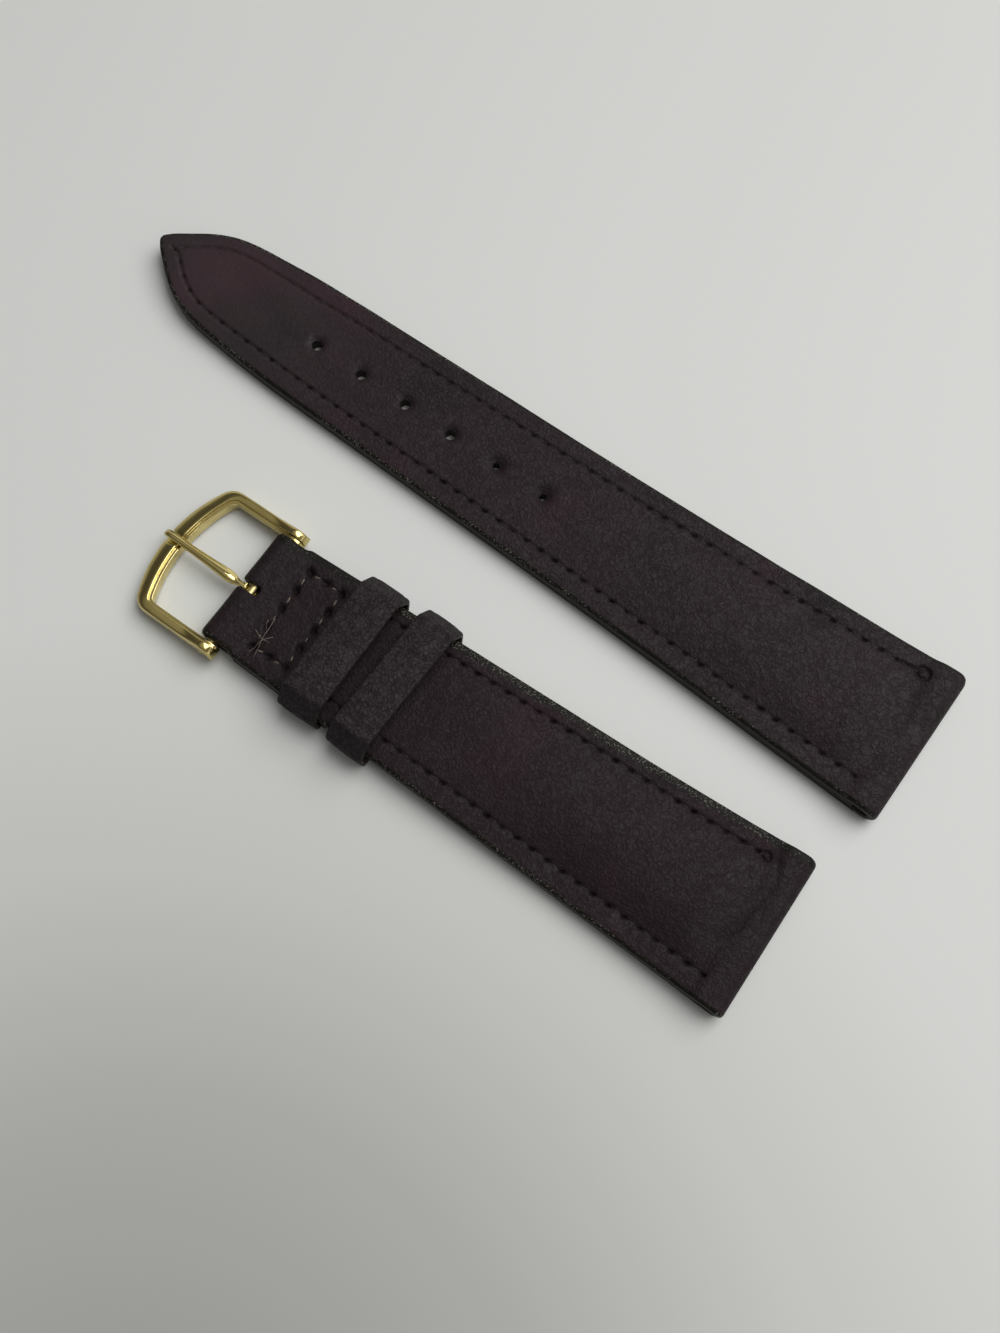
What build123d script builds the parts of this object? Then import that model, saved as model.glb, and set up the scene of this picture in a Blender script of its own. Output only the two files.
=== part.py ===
from build123d import *
import math
import os
from typing import NamedTuple

# A leather watch strap in two halves, laid flat side by side on a table.
#
# The short half carries a plated pin buckle on a telescopic spring bar, a sewn-in
# keeper and a sliding keeper. The long half has a row of punched holes and a pointed
# tail. Each half is an upper leather over padding, a core and a lining, sewn
# along its edges and rolled round a tunnel for the watch's own spring bar.
#
# Both halves are drawn with the watch end at x = 0 and the other end towards -X,
# lying on z = 0. The long half is then set beside the short one, and the
# whole is moved so that the origin is the middle of the bottom of its box.
# Lengths are in millimetres and angles in degrees.

# Watch end, the same on both halves
LUG_WIDTH = 20.0
LUG_THICKNESS = 3.07
TUNNEL_RADIUS = 0.9
TUNNEL_FRONT_WALL = 0.74
TUNNEL_BACK_WALL = 0.74

# Leather layers
UPPER_LEATHER = 1.01
LINING_LEATHER = 0.58
LINING_START = 2.22
LINING_PARING = 1.16
TURN_IN_LENGTH = 8.46
TURN_IN_LEATHER = 0.48
EDGE_BEVEL = 0.35

# Padding under the upper leather, as distances from the watch end and heights
PAD_START = 4.44
PAD_FULL = 7.94
PAD_START_CROWN = 0.26
PAD_FULL_CROWN = 1.06
PAD_END_CROWN = 0.13
CORE_AT_START = 1.06
CORE_AT_FULL = 0.85

# Short half
SHORT_LENGTH = 72.2
SHORT_FLAT = 21.2
SHORT_CORE_THIN = 0.26
SHORT_END_WIDTH = 15.6
FOLD_WIDTH = 14.9
FOLD_LENGTH = 4.23
FOLD_SHOULDER = 0.63
FOLD_LEATHER = 0.88
FLAP_LENGTH = 18.4
LINING_TO_BAR = 3.81
TONGUE_SLOT_WIDTH = 1.69
TONGUE_SLOT_BACK = 2.12

# Long half
LONG_LENGTH = 113.0
LONG_WAIST = 38.1
LONG_WAIST_WIDTH = 17.3
LONG_END_WIDTH = 15.4
LONG_CORE_WAIST = 0.53
LONG_CORE_TAIL = 0.42

# Tail of the long half, as distances back from its tip
TAIL_TAPER = 22.0
TAIL_SHOULDER = 9.95
TAIL_SHOULDER_WIDTH = 13.4
TAIL_FLANK = 5.82
TAIL_FLANK_WIDTH = 9.9
TAIL_NOSE = 0.85
TAIL_NOSE_WIDTH = 2.9
TAIL_LIFT_START = 24.1
TAIL_LIFT_MIDDLE = 11.43
TAIL_LIFT_AT_MIDDLE = 0.21
TAIL_LIFT_AT_TIP = 0.95
HOLE_RADIUS = 1.06
HOLE_COUNT = 6
HOLE_TO_TIP = 25.9
HOLE_PITCH = 6.94
HOLE_TO_PADDING = 3.7

# Where the long half lies beside the short one
LONG_OFFSET_X = 3.05
LONG_OFFSET_Y = 27.55
LONG_TURN = -1.83

# Sewing
STITCH_FIRST = 4.13
STITCH_INSET = 2.54
STITCH_PITCH = 2.08
STITCH_GAP = 0.25
THREAD = 0.4
THREAD_PROUD = 0.1
PAD_TO_STITCH = 0.37
BOX_TO_FOLD = 6.24
BOX_LENGTH = 4.66
BOX_PITCH = 2.75

# Keepers
KEEPER_LEATHER = 0.69
KEEPER_BULGE = 0.45
KEEPER_SHOULDER_IN = 2.0
KEEPER_SHOULDER_DOWN = 2.5
KEEPER_FOLD = 0.9
KEEPER_SOLE_CORNER = 0.42
KEEPER_EDGE = 0.2
TAIL_ROOM = 2.22
KEEPER_CLEARANCE = 0.05
FIXED_KEEPER_TO_BOX = 1.69
FIXED_KEEPER_WIDTH = 5.4
FIXED_KEEPER_TUCK = 4.23
FIXED_KEEPER_TUCK_LEATHER = 0.42
FREE_KEEPER_GAP = 2.01
FREE_KEEPER_WIDTH = 5.08
FREE_KEEPER_TRAVEL = 3.17
FREE_KEEPER_DROP = 0.21
KEEPER_STITCH_SPREAD = 2.54
KEEPER_THREAD = 0.2

# Buckle, with distances measured forwards from the spring bar's axis
BUCKLE_INNER_WIDTH = 15.3
BUCKLE_ARM = 1.55
BUCKLE_HEIGHT = 2.01
BUCKLE_EYE_RADIUS = 1.55
BUCKLE_INNER_CORNER = 8.7
BUCKLE_INNER_FRONT = 10.35
BUCKLE_OUTER_CORNER = 10.1
BUCKLE_OUTER_FRONT = 12.75
BUCKLE_OUTER_ROUND = 2.1
BUCKLE_INNER_ROUND = 0.85
BUCKLE_LEDGE_WIDTH = 0.42
BUCKLE_LEDGE_DEPTH = 0.48
BUCKLE_BEVEL = 0.48
BUCKLE_NOTCH_WIDTH = 1.38
BUCKLE_NOTCH_DEPTH = 0.26

# Tongue, with distances forwards from the bar's axis and heights above it
TONGUE_LOOP_RADIUS = 1.27
TONGUE_LOOP_WIDTH = 1.06
TONGUE_NECK = 2.01
TONGUE_NECK_WIDTH = 0.9
TONGUE_NECK_TOP = 0.63
TONGUE_SWELL = 3.28
TONGUE_SWELL_WIDTH = 1.48
TONGUE_SWELL_TOP = 1.01
TONGUE_SWELL_BOTTOM = 0.05
TONGUE_LENGTH = 12.9
TONGUE_TIP_WIDTH = 1.01
TONGUE_TIP_THICKNESS = 0.79
TONGUE_REST_GAP = 0.03

# Spring bar through the fold and the buckle's arms
BAR_RADIUS = 0.79
BAR_WALL = 0.2
BAR_LIP = 0.25
BAR_END_GAP = 0.1
PIVOT_CLEARANCE = 0.04
PIN_RADIUS = 0.42
PIN_END_GAP = 0.05
PLUNGER_HEAD_LENGTH = 3.17
SPRING_WIRE = 0.19
SPRING_PITCH = 0.63
WIRE_SIDES = 6
SPRING_CLEARANCE = 0.05

# How far cutting shapes run past what they cut
OVERRUN = 5.0
QUARTER_TURN = 90

# An edge runs across the strap where this share of its direction does
CROSSWISE_SHARE = 0.9

# Places that follow from the sizes above
LUG_HALF = LUG_WIDTH / 2
NOSE_RADIUS = LUG_THICKNESS / 2
TUNNEL_X = TUNNEL_FRONT_WALL + TUNNEL_RADIUS
TUNNEL_END = TUNNEL_X + TUNNEL_RADIUS + TUNNEL_BACK_WALL
BAR_CAVITY = BAR_RADIUS + PIVOT_CLEARANCE
FOLD_RADIUS = BAR_CAVITY + FOLD_LEATHER
BAR_X = SHORT_LENGTH - FOLD_RADIUS
FLAP_END = SHORT_LENGTH - FLAP_LENGTH
BOX_FAR = SHORT_LENGTH - BOX_TO_FOLD
BOX_NEAR = BOX_FAR - BOX_LENGTH
SHORT_TAPER_END = SHORT_LENGTH - FOLD_LENGTH - FOLD_SHOULDER
SHORT_LINING_END = BAR_X - LINING_TO_BAR
SHORT_UNDERSIDE = KEEPER_LEATHER + FREE_KEEPER_DROP
FIXED_KEEPER_START = BOX_NEAR - FIXED_KEEPER_TO_BOX - FIXED_KEEPER_WIDTH
FREE_KEEPER_START = FIXED_KEEPER_START - FREE_KEEPER_GAP - FREE_KEEPER_WIDTH
SHORT_RISE_END = FREE_KEEPER_START - FREE_KEEPER_TRAVEL - KEEPER_LEATHER
LONG_TAPER_END = LONG_LENGTH - TAIL_TAPER
HOLE_FIRST = LONG_LENGTH - HOLE_TO_TIP - (HOLE_COUNT - 1) * HOLE_PITCH
LONG_PAD_END = HOLE_FIRST - HOLE_TO_PADDING
BUCKLE_HALF = BUCKLE_INNER_WIDTH / 2
BAR_HALF = BUCKLE_HALF - BAR_END_GAP
CUT_HEIGHT = LUG_THICKNESS + 2 * OVERRUN


class Station(NamedTuple):
    """The layers at one distance from the watch end: where the underside is, and
    how thick the core and how high the padding's crown are."""

    distance: float
    under: float
    core: float
    crown: float


SHORT = (
    Station(PAD_START, 0, CORE_AT_START, PAD_START_CROWN),
    Station(PAD_FULL, 0, CORE_AT_FULL, PAD_FULL_CROWN),
    Station(SHORT_FLAT, 0, (CORE_AT_FULL + SHORT_CORE_THIN) / 2, PAD_FULL_CROWN),
    Station(SHORT_RISE_END, SHORT_UNDERSIDE, SHORT_CORE_THIN, PAD_END_CROWN),
    Station(SHORT_LINING_END, SHORT_UNDERSIDE, SHORT_CORE_THIN, 0),
)
LONG = (
    Station(PAD_START, 0, CORE_AT_START, PAD_START_CROWN),
    Station(PAD_FULL, 0, CORE_AT_FULL, PAD_FULL_CROWN),
    Station(LONG_PAD_END, 0, LONG_CORE_WAIST, PAD_END_CROWN),
    Station(LONG_LENGTH - TAIL_LIFT_START, 0, LONG_CORE_TAIL, 0),
    Station(LONG_LENGTH - TAIL_LIFT_MIDDLE, TAIL_LIFT_AT_MIDDLE, LONG_CORE_TAIL, 0),
    Station(LONG_LENGTH, TAIL_LIFT_AT_TIP, LONG_CORE_TAIL, 0),
)
SHORT_WIDTHS = ((0, LUG_WIDTH), (SHORT_TAPER_END, SHORT_END_WIDTH))
LONG_WIDTHS = ((0, LUG_WIDTH), (LONG_WAIST, LONG_WAIST_WIDTH), (LONG_TAPER_END, LONG_END_WIDTH))


def between(table, distance):
    """The value at a distance in a table of (distance, value), in straight runs."""
    for (near, low), (far, high) in zip(table, table[1:]):
        if distance <= far:
            break
    return low + (high - low) * (distance - near) / (far - near)


def underside(station):
    return station.under


def lining_top(station):
    return station.under + LINING_LEATHER


def core_top(station):
    return lining_top(station) + station.core


def upper_top(station):
    return core_top(station) + UPPER_LEATHER


def side_line(stations, height):
    return [(-station.distance, height(station)) for station in stations]


def height_at(stations, height, distance):
    return between([(s.distance, height(s)) for s in stations], max(distance, stations[0].distance))


def along_y(face, half):
    """A face drawn in x and z, made solid across the strap."""
    return extrude(Plane.XZ * face, amount=half, both=True)


def upright(face):
    """A face drawn in x and y, made solid well past the strap above and below."""
    return Pos(0, 0, -OVERRUN) * extrude(face, amount=CUT_HEIGHT)


def across(radius, x, z, half):
    """A rod along Y."""
    return Pos(x, 0, z) * Rot(QUARTER_TURN, 0, 0) * Cylinder(radius, 2 * half)


def closed(*edges):
    return make_face(Wire(list(edges)))


# Layers of one half


def layer(lower, upper):
    """A layer between two side lines, as wide as the watch end."""
    return along_y(make_face(Polyline(*lower, *reversed(upper), close=True)), LUG_HALF)


def lining_layer(stations):
    lower = [(-LINING_START, 0)] + side_line(stations, underside)
    upper = [(-LINING_START - LINING_PARING, LINING_LEATHER)] + side_line(stations, lining_top)
    return layer(lower, upper)


def core_layer(stations):
    """The core lies on the upper leather's pared turn-in, and past it on the lining."""
    past = [station for station in stations if station.distance > TURN_IN_LENGTH]
    front = (-TUNNEL_END, LINING_LEATHER + TURN_IN_LEATHER)
    lower = [front, (-TURN_IN_LENGTH, LINING_LEATHER)] + side_line(past, lining_top)
    upper = [(-TUNNEL_END, core_top(stations[0]))] + side_line(stations, core_top)
    return layer(lower, upper)


def crown(stations, widths):
    """The swelling of the upper leather over the padding, with a skirt below it."""
    sections = []
    for station in stations:
        if not station.crown:
            continue
        half = between(widths, station.distance) / 2 - STITCH_INSET - PAD_TO_STITCH
        level = upper_top(station)
        skirt = level - SHORT_CORE_THIN / 2
        arc = ThreePointArc((-half, level), (0, level + station.crown), (half, level))
        sides = Polyline((half, level), (half, skirt), (-half, skirt), (-half, level))
        plane = Plane(origin=(-station.distance, 0, 0), x_dir=(0, 1, 0), z_dir=(1, 0, 0))
        sections.append(plane * closed(arc, *sides.edges()))
    return loft(sections, ruled=True)


def tunnel():
    return across(TUNNEL_RADIUS, -TUNNEL_X, NOSE_RADIUS, LUG_HALF + OVERRUN)


def nose_arc():
    return ThreePointArc((-NOSE_RADIUS, 0), (0, NOSE_RADIUS), (-NOSE_RADIUS, LUG_THICKNESS))


def top_line(stations):
    return [
        (-NOSE_RADIUS, LUG_THICKNESS),
        (-TUNNEL_END, LUG_THICKNESS),
    ] + side_line(stations, upper_top)


def bevel_edges(body):
    """Bevel the upper rims of a half, on from the rolled watch end."""
    rims = []
    for edge in body.edges():
        middle, along = edge @ 0.5, edge % 0.5
        if middle.Z > NOSE_RADIUS and abs(along.Y) < CROSSWISE_SHARE and abs(along.Z) < CROSSWISE_SHARE:
            rims.append(edge)
    return chamfer(rims, EDGE_BEVEL)


# Sewing


def stitch(start, heading, top, bottom, length, thread):
    """One lock stitch: a leg down its hole, and a bar along each face of the leather."""
    side = Polyline(
        (0, bottom),
        (length, bottom),
        (length, bottom + thread),
        (thread, bottom + thread),
        (thread, top - thread),
        (length, top - thread),
        (length, top),
        (0, top),
        close=True,
    )
    return Pos(start.X, start.Y, 0) * Rot(0, 0, heading) * along_y(make_face(side), thread / 2)


def stitch_row(path, top, bottom, pitch):
    """Stitches along a path in plan, where top and bottom give the faces' heights."""
    count = round(path.length / pitch)
    row = []
    for index in range(count):
        share = index / count
        here = path @ share
        along = path % share
        heading = math.degrees(math.atan2(along.Y, along.X))
        length = path.length / count - STITCH_GAP
        rise = top(-here.X) + THREAD_PROUD
        row.append(stitch(here, heading, rise, bottom(-here.X), length, THREAD))
    return row


# Short half


def short_plan():
    half = SHORT_END_WIDTH / 2
    fold = FOLD_WIDTH / 2
    right = [
        (0, LUG_HALF),
        (-SHORT_TAPER_END, half),
        (-SHORT_TAPER_END - FOLD_SHOULDER, fold),
        (-SHORT_LENGTH, fold),
    ]
    left = [(x, -y) for x, y in reversed(right)]
    return make_face(Polyline(*right, *left, close=True))


def short_envelope():
    """The whole short half: rolled watch end, folded buckle end and turned-back flap."""
    fold = ThreePointArc((-BAR_X, 2 * FOLD_RADIUS), (-SHORT_LENGTH, FOLD_RADIUS), (-BAR_X, 0))
    top = Polyline(*top_line(SHORT), (-BAR_X, 2 * FOLD_RADIUS))
    bottom = Polyline(
        (-BAR_X, 0),
        (-FLAP_END, 0),
        (-FLAP_END, SHORT_UNDERSIDE),
        (-SHORT_RISE_END, SHORT_UNDERSIDE),
        (-SHORT_FLAT, 0),
        (-NOSE_RADIUS, 0),
    )
    side = closed(*top.edges(), fold, *bottom.edges(), nose_arc())
    return bevel_edges(along_y(side, LUG_HALF) & upright(short_plan()))


def tongue_slot():
    """The slot in the fold that the tongue swings in."""
    back = -BAR_X + TONGUE_SLOT_BACK
    front = -SHORT_LENGTH - OVERRUN
    return Pos((front + back) / 2, 0, 0) * Box(back - front, TONGUE_SLOT_WIDTH, CUT_HEIGHT)


def short_half_width(distance):
    return between(SHORT_WIDTHS, distance) / 2


def keeper_outline(half, floor, roof, skin, sole_corner):
    """A keeper's outline across the strap, skin deep in its leather.

    Its sides bulge away from the strap, and its shoulders slope in to the flat top.
    """
    slope = math.hypot(KEEPER_SHOULDER_IN, KEEPER_SHOULDER_DOWN)
    shoulder_in = KEEPER_SHOULDER_IN - skin + skin * (slope - KEEPER_SHOULDER_IN) / KEEPER_SHOULDER_DOWN
    shoulder_down = KEEPER_SHOULDER_DOWN - skin + skin * (slope - KEEPER_SHOULDER_DOWN) / KEEPER_SHOULDER_IN
    widest = half + KEEPER_BULGE
    side = [(half, floor), (widest, roof - shoulder_down), (widest - shoulder_in, roof)]
    shape = Polygon(*side, *[(-y, z) for y, z in reversed(side)], align=None)
    rows = shape.vertices().group_by(Axis.Y)
    shape = fillet(rows[-1] + rows[-2], KEEPER_FOLD - skin)
    return fillet(shape.vertices().group_by(Axis.Y)[0], sole_corner) if sole_corner else shape


def keeper_band(half, start, width, floor, sole):
    """A leather loop round the strap and the tail, from its near edge towards the buckle."""
    ceiling = height_at(SHORT, upper_top, start) + TAIL_ROOM
    outer = keeper_outline(half + KEEPER_LEATHER, floor, ceiling + KEEPER_LEATHER, 0, KEEPER_SOLE_CORNER)
    inner = keeper_outline(half, sole, ceiling, KEEPER_LEATHER, 0)
    plane = Plane(origin=(-start, 0, 0), x_dir=(0, 1, 0), z_dir=(1, 0, 0))
    band = extrude(plane * outer, amount=-width)
    ends = band.faces().sort_by(Axis.X)
    band = fillet(ends[0].edges() + ends[-1].edges(), KEEPER_EDGE)
    return band - extrude(plane * inner, amount=-width)


def make_fixed_keeper():
    """The sewn-in keeper, whose two pared ends are tucked between flap and lining."""
    half = short_half_width(FIXED_KEEPER_START) + KEEPER_CLEARANCE
    floor = SHORT_UNDERSIDE - FIXED_KEEPER_TUCK_LEATHER
    band = keeper_band(half, FIXED_KEEPER_START, FIXED_KEEPER_WIDTH, floor, SHORT_UNDERSIDE)
    opening = Box(FIXED_KEEPER_WIDTH + OVERRUN, 2 * (half - FIXED_KEEPER_TUCK), SHORT_UNDERSIDE)
    middle = -FIXED_KEEPER_START - FIXED_KEEPER_WIDTH / 2
    return band - Pos(middle, 0, SHORT_UNDERSIDE / 2) * opening


def make_free_keeper():
    """The sliding keeper, wide enough for the strap at the watch end of its travel."""
    widest = short_half_width(FREE_KEEPER_START - FREE_KEEPER_TRAVEL)
    half = widest + KEEPER_CLEARANCE
    return keeper_band(half, FREE_KEEPER_START, FREE_KEEPER_WIDTH, 0, KEEPER_LEATHER)


def make_free_keeper_stitch():
    """Two stitches through the lapped ends under the sliding keeper."""
    middle = -FREE_KEEPER_START - FREE_KEEPER_WIDTH / 2
    row = []
    for side in (-1, 1):
        start = Vector(middle + side * KEEPER_STITCH_SPREAD / 2, -STITCH_PITCH / 2)
        row.append(stitch(start, QUARTER_TURN, KEEPER_LEATHER, 0, STITCH_PITCH, KEEPER_THREAD))
    return Compound(children=row)


def make_short_half():
    envelope = short_envelope()
    swelling = crown(SHORT, SHORT_WIDTHS)
    lining = lining_layer(SHORT) & upright(short_plan())
    core = core_layer(SHORT) & upright(short_plan())
    padding = Pos(0, 0, -UPPER_LEATHER) * swelling - core
    bar_cavity = across(BAR_CAVITY, -BAR_X, FOLD_RADIUS, LUG_HALF + OVERRUN)
    keeper = make_fixed_keeper()
    upper = envelope + swelling - lining - core - padding - tunnel() - bar_cavity - tongue_slot() - keeper
    return {
        "short_upper_leather": upper,
        "short_padding": padding,
        "short_core": core,
        "short_lining": lining,
        "fixed_keeper": keeper,
        "short_edge_stitching": short_edge_stitching(),
        "box_stitching": box_stitching(),
    }


def short_top(distance):
    return height_at(SHORT, upper_top, distance)


def short_bottom(distance):
    """The underside that the thread comes out of, which past its end is the flap's."""
    return 0 if distance > FLAP_END else height_at(SHORT, underside, distance)


def short_row_point(distance, side):
    return (-distance, side * (short_half_width(distance) - STITCH_INSET))


def short_edge_stitching():
    rows = []
    for side in (-1, 1):
        path = Line(short_row_point(STITCH_FIRST, side), short_row_point(BOX_NEAR - STITCH_PITCH, side))
        rows += stitch_row(path, short_top, short_bottom, STITCH_PITCH)
    return Compound(children=rows)


def box_stitching():
    """Two rows across the strap behind the bar, joined at both sides."""
    near_left, near_right = short_row_point(BOX_NEAR, -1), short_row_point(BOX_NEAR, 1)
    far_left, far_right = short_row_point(BOX_FAR, -1), short_row_point(BOX_FAR, 1)
    corners = [near_left, near_right, far_right, far_left, near_left]
    rows = []
    for start, end in zip(corners, corners[1:]):
        rows += stitch_row(Line(start, end), short_top, short_bottom, BOX_PITCH)
    return Compound(children=rows)


# Long half


def long_plan():
    """The long half seen from above: two tapers, a rounded shoulder and a blunt point."""
    taper_end = (-LONG_TAPER_END, LONG_END_WIDTH / 2)
    shoulder = (-LONG_LENGTH + TAIL_SHOULDER, TAIL_SHOULDER_WIDTH / 2)
    flank = (-LONG_LENGTH + TAIL_FLANK, TAIL_FLANK_WIDTH / 2)
    nose = (-LONG_LENGTH + TAIL_NOSE, TAIL_NOSE_WIDTH / 2)
    straight = Polyline((0, LUG_HALF), (-LONG_WAIST, LONG_WAIST_WIDTH / 2), taper_end)
    bend = TangentArc(taper_end, shoulder, tangent=straight % 1)
    turn = TangentArc(shoulder, flank, tangent=bend % 1)
    side = [*straight.edges(), bend, turn, Line(flank, nose)]
    other = [edge.mirror(Plane.XZ) for edge in side]
    point = ThreePointArc(nose, (-LONG_LENGTH, 0), (nose[0], -nose[1]))
    return closed(*side, point, *other, Line((0, LUG_HALF), (0, -LUG_HALF)))


def long_envelope():
    tip = LONG[-1]
    top = Polyline(*top_line(LONG))
    end = Line((-LONG_LENGTH, upper_top(tip)), (-LONG_LENGTH, tip.under))
    bottom = Polyline(*reversed(side_line(LONG[3:], underside)), (-NOSE_RADIUS, 0))
    side = closed(*top.edges(), end, *bottom.edges(), nose_arc())
    return bevel_edges(along_y(side, LUG_HALF) & upright(long_plan()))


def holes():
    """The row of adjustment holes, as rods that go right through."""
    rods = []
    for index in range(HOLE_COUNT):
        rods.append(Pos(-HOLE_FIRST - index * HOLE_PITCH, 0, 0) * Cylinder(HOLE_RADIUS, CUT_HEIGHT))
    return rods


def long_edge_stitching():
    """One row down a side, round the tail and back up the other side."""
    reach = LONG_LENGTH + OVERRUN
    ahead = Pos(-STITCH_FIRST - reach / 2, 0) * Rectangle(reach, LUG_WIDTH)
    inside = offset(long_plan(), -STITCH_INSET) & ahead
    edges = [edge for edge in inside.edges() if -(edge @ 0.5).X > STITCH_FIRST + THREAD]
    return Compound(children=stitch_row(Wire(edges), long_top, long_bottom, STITCH_PITCH))


def long_top(distance):
    return height_at(LONG, upper_top, distance)


def long_bottom(distance):
    return height_at(LONG, underside, distance)


def make_long_half():
    envelope = long_envelope()
    swelling = crown(LONG, LONG_WIDTHS)
    lining = lining_layer(LONG) & upright(long_plan())
    core = core_layer(LONG) & upright(long_plan())
    padding = Pos(0, 0, -UPPER_LEATHER) * swelling - core
    upper = envelope + swelling - lining - core - padding - tunnel()
    return {
        "long_upper_leather": upper - holes(),
        "long_padding": padding,
        "long_core": core - holes(),
        "long_lining": lining - holes(),
        "long_edge_stitching": long_edge_stitching(),
    }


# Buckle, drawn with the spring bar's axis at the origin and the front towards -X


def buckle_window(grow):
    """The opening inside the buckle in plan, open at the back, and grown all round."""
    half = BUCKLE_HALF + grow
    corner, front = -BUCKLE_INNER_CORNER - grow, -BUCKLE_INNER_FRONT - grow
    back = BUCKLE_EYE_RADIUS + OVERRUN
    arc = ThreePointArc((corner, -half), (front, 0), (corner, half))
    sides = Polyline((corner, half), (back, half), (back, -half), (corner, -half))
    window = closed(arc, *sides.edges())
    return fillet(window.vertices().group_by(Axis.X)[0], BUCKLE_INNER_ROUND + grow)


def buckle_outline():
    half = BUCKLE_HALF + BUCKLE_ARM
    corner, front, back = -BUCKLE_OUTER_CORNER, -BUCKLE_OUTER_FRONT, BUCKLE_EYE_RADIUS
    arc = ThreePointArc((corner, -half), (front, 0), (corner, half))
    sides = Polyline((corner, half), (back, half), (back, -half), (corner, -half))
    outline = closed(arc, *sides.edges())
    return fillet(outline.vertices().group_by(Axis.X)[0], BUCKLE_OUTER_ROUND)


def make_buckle_frame():
    """Two arms and a bowed front bar, bevelled outside, with a low ledge inside."""
    level = BUCKLE_HEIGHT / 2
    slab = extrude(buckle_outline(), amount=level, both=True)
    bevelled = [
        edge
        for edge in slab.edges()
        if abs((edge @ 0.5).Z) > level / 2 and (edge @ 0.5).X < BUCKLE_EYE_RADIUS - BUCKLE_BEVEL
    ]
    slab = fillet(bevelled, BUCKLE_BEVEL)
    half = BUCKLE_HALF + BUCKLE_ARM
    side = Pos(-BUCKLE_OUTER_FRONT / 2, 0) * Rectangle(BUCKLE_OUTER_FRONT, BUCKLE_HEIGHT)
    eyes = across(BUCKLE_EYE_RADIUS, 0, 0, half)
    slab = (slab & along_y(side, half)) + eyes
    slab -= upright(buckle_window(0))
    slab -= Pos(0, 0, level - BUCKLE_LEDGE_DEPTH) * extrude(
        buckle_window(BUCKLE_LEDGE_WIDTH) & Pos(-BUCKLE_OUTER_FRONT, 0) * front_only(), amount=OVERRUN
    )
    notch = Box(BUCKLE_OUTER_FRONT, BUCKLE_NOTCH_WIDTH, BUCKLE_NOTCH_DEPTH * 2)
    slab -= Pos(-BUCKLE_OUTER_FRONT, 0, level) * notch
    return slab - across(PIN_RADIUS + PIVOT_CLEARANCE, 0, 0, half + OVERRUN)


def front_only():
    """The part of the plan in front of the buckle's eyes."""
    reach = BUCKLE_OUTER_FRONT - BUCKLE_EYE_RADIUS
    return Rectangle(2 * reach, 2 * (BUCKLE_HALF + BUCKLE_ARM))


def make_buckle_tongue():
    """A pin curled round the bar, swelling past its neck and lying in the notch."""
    rest = BUCKLE_HEIGHT / 2 - BUCKLE_NOTCH_DEPTH + TONGUE_REST_GAP
    crest = rest + TONGUE_TIP_THICKNESS
    back = -BUCKLE_INNER_FRONT + BUCKLE_LEDGE_WIDTH
    top = [
        (0, TONGUE_LOOP_RADIUS),
        (-TONGUE_NECK, TONGUE_NECK_TOP),
        (-TONGUE_SWELL, TONGUE_SWELL_TOP),
        (back, crest),
        (-TONGUE_LENGTH + TONGUE_TIP_THICKNESS / 2, crest),
    ]
    bottom = [
        (-TONGUE_LENGTH, rest),
        (back, rest),
        (-TONGUE_SWELL, TONGUE_SWELL_BOTTOM),
        (-TONGUE_NECK, -TONGUE_NECK_TOP / 2),
        (0, -TONGUE_LOOP_RADIUS),
    ]
    side = make_face(Polyline(*top, *bottom, close=True))
    body = along_y(side, TONGUE_SWELL_WIDTH) + across(TONGUE_LOOP_RADIUS, 0, 0, TONGUE_SWELL_WIDTH)
    right = [
        (TONGUE_LOOP_RADIUS, TONGUE_LOOP_WIDTH / 2),
        (-TONGUE_LOOP_RADIUS, TONGUE_LOOP_WIDTH / 2),
        (-TONGUE_NECK, TONGUE_NECK_WIDTH / 2),
        (-TONGUE_SWELL, TONGUE_SWELL_WIDTH / 2),
        (-TONGUE_LENGTH + TONGUE_TIP_THICKNESS, TONGUE_TIP_WIDTH / 2),
        (-TONGUE_LENGTH, TONGUE_TIP_WIDTH / 4),
    ]
    left = [(x, -y) for x, y in reversed(right)]
    plan = make_face(Polyline(*right, *left, close=True))
    return (body & upright(plan)) - across(BAR_CAVITY, 0, 0, TONGUE_SWELL_WIDTH)


def buckle_at_rest(piece):
    """Set a buckle piece on the bar, tipped until the front bar lies on the table."""
    reach = math.hypot(BUCKLE_OUTER_FRONT, BUCKLE_HEIGHT / 2)
    tip = math.asin(FOLD_RADIUS / reach) - math.atan2(BUCKLE_HEIGHT / 2, BUCKLE_OUTER_FRONT)
    return Pos(-BAR_X, 0, FOLD_RADIUS) * Rot(0, -math.degrees(tip), 0) * piece


# Spring bar, drawn along Y with its middle at the origin


def make_barrel():
    """A thin tube with its ends turned in, so that the plungers stay inside."""
    bore = across(BAR_RADIUS - BAR_WALL, 0, 0, BAR_HALF - BAR_LIP)
    return across(BAR_RADIUS, 0, 0, BAR_HALF) - bore - across(PIN_RADIUS + PIVOT_CLEARANCE, 0, 0, LUG_HALF)


def make_plunger(side):
    """A head that slides in the barrel, and a pin that fills the hole in the arm."""
    head_end = BAR_HALF - BAR_LIP - PIN_END_GAP
    head = across(BAR_RADIUS - BAR_WALL - PIVOT_CLEARANCE, 0, 0, PLUNGER_HEAD_LENGTH / 2)
    head = Pos(0, side * (head_end - PLUNGER_HEAD_LENGTH / 2), 0) * head
    pin_end = BUCKLE_HALF + BUCKLE_ARM - PIN_END_GAP
    middle = (head_end + pin_end) / 2
    pin = Pos(0, side * middle, 0) * across(PIN_RADIUS, 0, 0, (pin_end - head_end) / 2)
    return head + pin


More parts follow.
